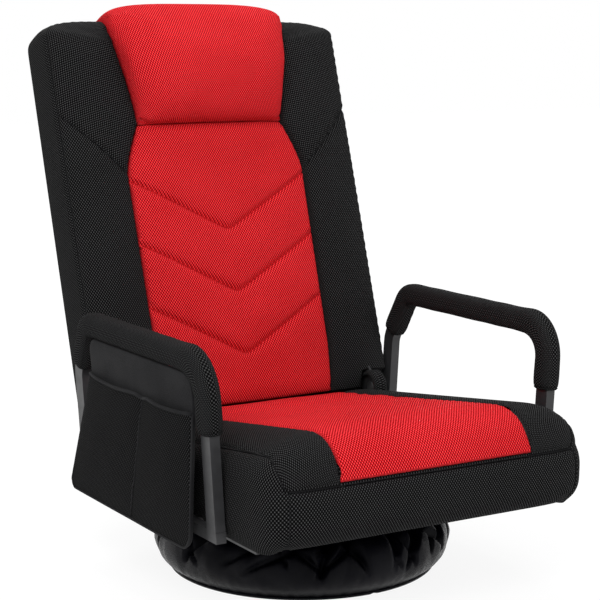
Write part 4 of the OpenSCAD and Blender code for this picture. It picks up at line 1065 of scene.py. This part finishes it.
def pouch():
    """The mesh pouch with its two compartments, its binding and the seam between them."""
    edge = array(POUCH_EDGE)
    front, rear = edge[:11][::-1], edge[11:]
    z = np.r_[linspace(112.4, 136, 14), linspace(136, 303, 52)[1:]][:, None]
    y_front = interp(z, front[:, 1], front[:, 0])
    wide = interp(z, rear[:, 1], rear[:, 0]) - y_front
    a = linspace(0, 1, 110)
    y = y_front + wide * a
    divider_y = -215.7 + (z - MOUTH_Z) * tan(radians(-15))
    split = (divider_y - y_front) / wide
    cell = where(a < split, a / split, (a - split) / (1 - split))
    rise = sin(pi * clip((z - 112) / 384, 0, 0.5)) ** 0.6
    puff = sin(pi * cell).clip(0, 1) ** 0.55
    edges = sin(pi * a).clip(0, 1) ** 0.25
    top = smooth(250, MOUTH_Z, z)
    out = rise * (2.2 * edges + (8.8 - top) * puff) + 0.3 * sin(a * 29 + z / 23) * rise * edges * puff
    seam_dip = 5.0 * exp(-((a - split) * 352 / 13) ** 2) * smooth(230, MOUTH_Z, z)
    dip = seam_dip + 3.0 * sin(pi * cell) * top
    p = join(-(295.5 + out), CREASE_Y + y, z - dip)
    # the pouch gets the darker copy of the black mesh, which is painted shade
    obj = Shell(p, join(y, z)).build("pocket_front", "mesh_black_shaded", outward=False)
    divider = [p[i, int(np.argmin(abs(split[i] - a)))] for i in range(2, len(z))]
    rim = np.concatenate([p[::-1, 0], p[0, 1:-1], p[:, -1]])
    cords = Shell()
    tube(cords, even(p[-1], 4), 2.4, 8)
    tube(cords, even(rim, 4), 1.7, 8)
    tube(cords, even(divider, 4) - [0.5, 0, 0], 1.1, 6)
    b = cords.build("pocket_binding", "cloth_black")
    piece(b, "seat", "cloth_black")
    piece(obj, "seat", "mesh_black", "pocket_pouch")


backing()
pouch()


# Base skirt

# Folds: angle, depth, half width at the top, slant, and where the pit starts (0 low, 1 high)
FOLDS = [
    (-169, 1.0, 6, 6, 0.25), (-166, 0.8, 4, -14, 0.3), (-150, 0.5, 9, 16, 0.55), (-138, 0.6, 8, 24, 0.25),
    (-126, 0.5, 4, -7, 0.7), (-113, 1.2, 6, 3, 0.05), (-112, 0.9, 4, 16, 0.12), (-115, 0.8, 5, -14, 0.2),
    (-97, 1.0, 4.5, -6, 0.15), (-84, 1.1, 5, 5, 0.1), (-83, 0.8, 4, -9, 0.2), (-75, 1.0, 4.5, 12, 0.02),
    (-74, 0.9, 4, -3, 0.08), (-62, 0.9, 4, 6, 0.4), (-54, 1.1, 5, -10, 0.2), (-53, 0.8, 4, 8, 0.25),
    (-38, 0.9, 5, 7, 0.3), (-27, 1.0, 6, -6, 0.1), (-14, 0.8, 5, 3, 0.35), (12, 1.0, 6, 5, 0.1),
    (13, 0.7, 4, -8, 0.2), (29, 0.7, 8, -18, 0.4), (44, 1.1, 5, 7, 0.1), (46, 0.8, 4, -10, 0.15),
    (61, 0.6, 6, 14, 0.5), (73, 1.0, 5, -5, 0.2), (84, 0.7, 4, -9, 0.4), (99, 1.0, 5, 8, 0.1),
    (101, 0.8, 4, -12, 0.25), (118, 0.6, 8, 18, 0.45), (133, 1.1, 6, -4, 0.05), (135, 0.8, 4, 11, 0.2),
    (151, 0.8, 5, -12, 0.35), (166, 1.0, 6, 5, 0.15),
]
LEGS_AT = (-90, 0, 90, 180)
GIRTH_R, FACET = 200, 46.0


def crumple(x, y):
    """Flat facets with sharp creases between them, 0 to about 1, over a closed strip of cloth."""
    rng = np.random.default_rng(11)
    length = 2 * pi * GIRTH_R
    best = 1e9
    for i in range(int(length / FACET)):
        for j in range(5):
            px = (i + rng.uniform(0.05, 0.95)) * FACET
            py = (j + rng.uniform(0.05, 0.95)) * FACET * 0.8
            dx = (x - x[0] - px + length / 2) % length - length / 2
            best = minimum(best, np.hypot(dx, (y[:, None] - py) * 0.8))
    return clip(best / 30, 0, 1.2)


def turn_between(deg, at):
    return abs((deg - at + 180) % 360 - 180)


def skirt_profile():
    """Radius and height of the skirt without its folds, from the hem over the bulge to the neck."""
    profile = [(199.6, 3.2), (200.4, 6)] + arc(184, 47, 42.5, -58, 71, 40)
    profile += [tuple(p) for p in linspace(profile[-1], (114.0, 116.3), 26)[1:]]
    return even(array(profile + [(114, 119), (114.3, 121.4)]), 4.2)


def skirt():
    profile = skirt_profile()
    radius, height = profile[:, :1], profile[:, 1:]
    run = arc_len(profile)
    wide = run[int(np.argmax(profile[:, 0]))]
    rise = smooth(wide - 22, wide + 60, run)
    close = smooth(run[-1] - 7, run[-1] - 34, run)
    share = (rise * close)[:, None]
    along = unit(np.gradient(profile, axis=0))
    ang = radians(linspace(-90, 270, 721))
    deg = np.degrees(ang)
    fold = 0
    for at, depth, width, slant, pit in FOLDS:
        d = turn_between(deg, at + slant * (rise[:, None] - 0.3))
        begin = wide - 16 + 30 * pit
        dip = depth * smooth(begin, begin + 13, run) * close
        wedge = maximum(0, 1 - d / (width * (0.28 + 0.72 * smooth(begin, begin + 60, run)[:, None])))
        fold = maximum(fold, dip[:, None] * wedge ** 1.1)
    # over the legs of the frame the cloth lies tight
    leg = np.min([turn_between(deg, at) for at in LEGS_AT], 0)
    deep = 1.1 + 15.9 * smooth(4, 10, leg)
    facets = (close * smooth(8, 60, run))[:, None] * crumple(ang * GIRTH_R, run)
    small = abs(sin(ang * 31 + 2.2 * sin(ang * 5))) * sin(share * 5 + sin(ang * 9) * 1.4)
    drop = fold * deep + (0.7 * share * small + 4.4 * facets) * (deep / 17)
    hem = smooth(40, 8, height) * (0.35 * sin(ang * 84) + 0.3 * sin(ang * 53 + 1))
    rr = radius - along[:, 1:] * drop + hem
    zz = height + along[:, :1] * drop
    p = join(rr * cos(ang), SWIVEL_Y + rr * sin(ang), zz)
    obj = Shell(p, join(ang * 190, run[:, None])).build("skirt", "skirt_nylon", outward=False)
    piece(obj, "base", "skirt_nylon", "base_skirt")
    hem_line = join(200.6 * cos(ang), SWIVEL_Y + 200.6 * sin(ang), 4.2)
    cord = Shell()
    tube(cord, even(hem_line, 6), 2.2, 8)
    b = cord.build("skirt_hem", "skirt_nylon")
    piece(b, "base", "skirt_nylon")


def band():
    """The ribbed band that gathers the skirt at its neck."""
    ang = linspace(0, 2 * pi, 361)
    rows = []
    for radius, z in ((114.6, 117.6), (116.0, 117.8), (116.2, 119.6), (116.0, 121.6), (114.6, 121.8)):
        r = radius + 0.25 * sin(ang * 90)
        rows.append(join(r * cos(ang), SWIVEL_Y + r * sin(ang), z))
    shell = Shell(array(rows), join(ang * 115, np.arange(5.0)[:, None] * 2))
    shell.grid(array([rows[-1], rows[0]]), np.zeros((2, 361, 2)))
    piece(shell.build("neck_band", "webbing"), "base", "webbing", "skirt_band")


skirt()
band()


# Floor, light and camera

def shown(nt):
    """1 for rays from the camera and for reflected and transmitted ones."""
    path = nt.nodes.new("ShaderNodeLightPath")
    seen = math_node(nt, "MAXIMUM", path.outputs["Is Camera Ray"], path.outputs["Is Glossy Ray"])
    return math_node(nt, "MAXIMUM", seen, path.outputs["Is Transmission Ray"])


def floor():
    """A plain floor that is nearly white to the camera and keeps a faint shadow near the chair."""
    me = bpy.data.meshes.new("floor")
    r = 12.0
    me.from_pydata([(-r, -r, 0), (r, -r, 0), (r, r, 0), (-r, r, 0)], [], [(0, 1, 2, 3)])
    m = bpy.data.materials.new("floor_white")
    nt = empty_tree(m)
    pale = add(nt, "BsdfDiffuse", {"Color": (0.86, 0.86, 0.86)})
    white = add(nt, "Emission", {"Color": (1, 1, 1), "Strength": 1.06})
    away = nt.nodes.new("ShaderNodeVectorMath")
    away.operation = "LENGTH"
    fill_in(nt, away, {0: coords(nt, "Object")})
    share = math_node(nt, "MULTIPLY", shown(nt), ramp(nt, away.outputs["Value"], 0.5, 1.4, 0.84, 1.0))
    both = add(nt, "MixShader", {0: share, 1: pale.outputs[0], 2: white.outputs[0]})
    add(nt, "OutputMaterial", {0: both.outputs[0]})
    me.materials.append(m)
    place("floor", me)


def world():
    """Soft light from all sides, shown as white."""
    w = bpy.data.worlds.new("studio")
    bpy.context.scene.world = w
    nt = empty_tree(w)
    soft = add(nt, "Background", {0: (1, 1, 1), 1: 0.42})
    white = add(nt, "Background", {0: (1, 1, 1), 1: 1.0})
    both = add(nt, "MixShader", {0: shown(nt), 1: soft.outputs[0], 2: white.outputs[0]})
    add(nt, "OutputWorld", {0: both.outputs[0]})


def area_light(name, at, to, size, power):
    lamp = bpy.data.lights.new(name, "AREA")
    lamp.size = size
    lamp.energy = power
    obj = place(name, lamp)
    obj.location = at
    obj.rotation_euler = (Vector(to) - Vector(at)).to_track_quat("-Z", "Y").to_euler()


def camera():
    """The camera as fitted to the photograph."""
    view = bpy.data.cameras.new("camera")
    view.lens = 102.753
    view.sensor_width = 36
    view.shift_x = -0.01467
    view.shift_y = -0.00733
    view.dof.use_dof = False
    obj = place("camera", view)
    obj.location = (-1.30406, -2.2055, 0.79907)
    obj.rotation_euler = (radians(81.2854), 0, radians(-31.1085))
    bpy.context.scene.camera = obj


floor()
world()
area_light("key", (-2.0, -2.2, 2.7), (0, -0.1, 0.3), 1.8, 95)
area_light("fill", (2.4, -1.8, 1.5), (0, 0, 0.3), 2.2, 28)
area_light("top", (0.2, 0.9, 2.6), (0, 0, 0.4), 1.8, 38)
camera()
bpy.context.scene.view_settings.view_transform = "Standard"

bpy.context.view_layer.update()
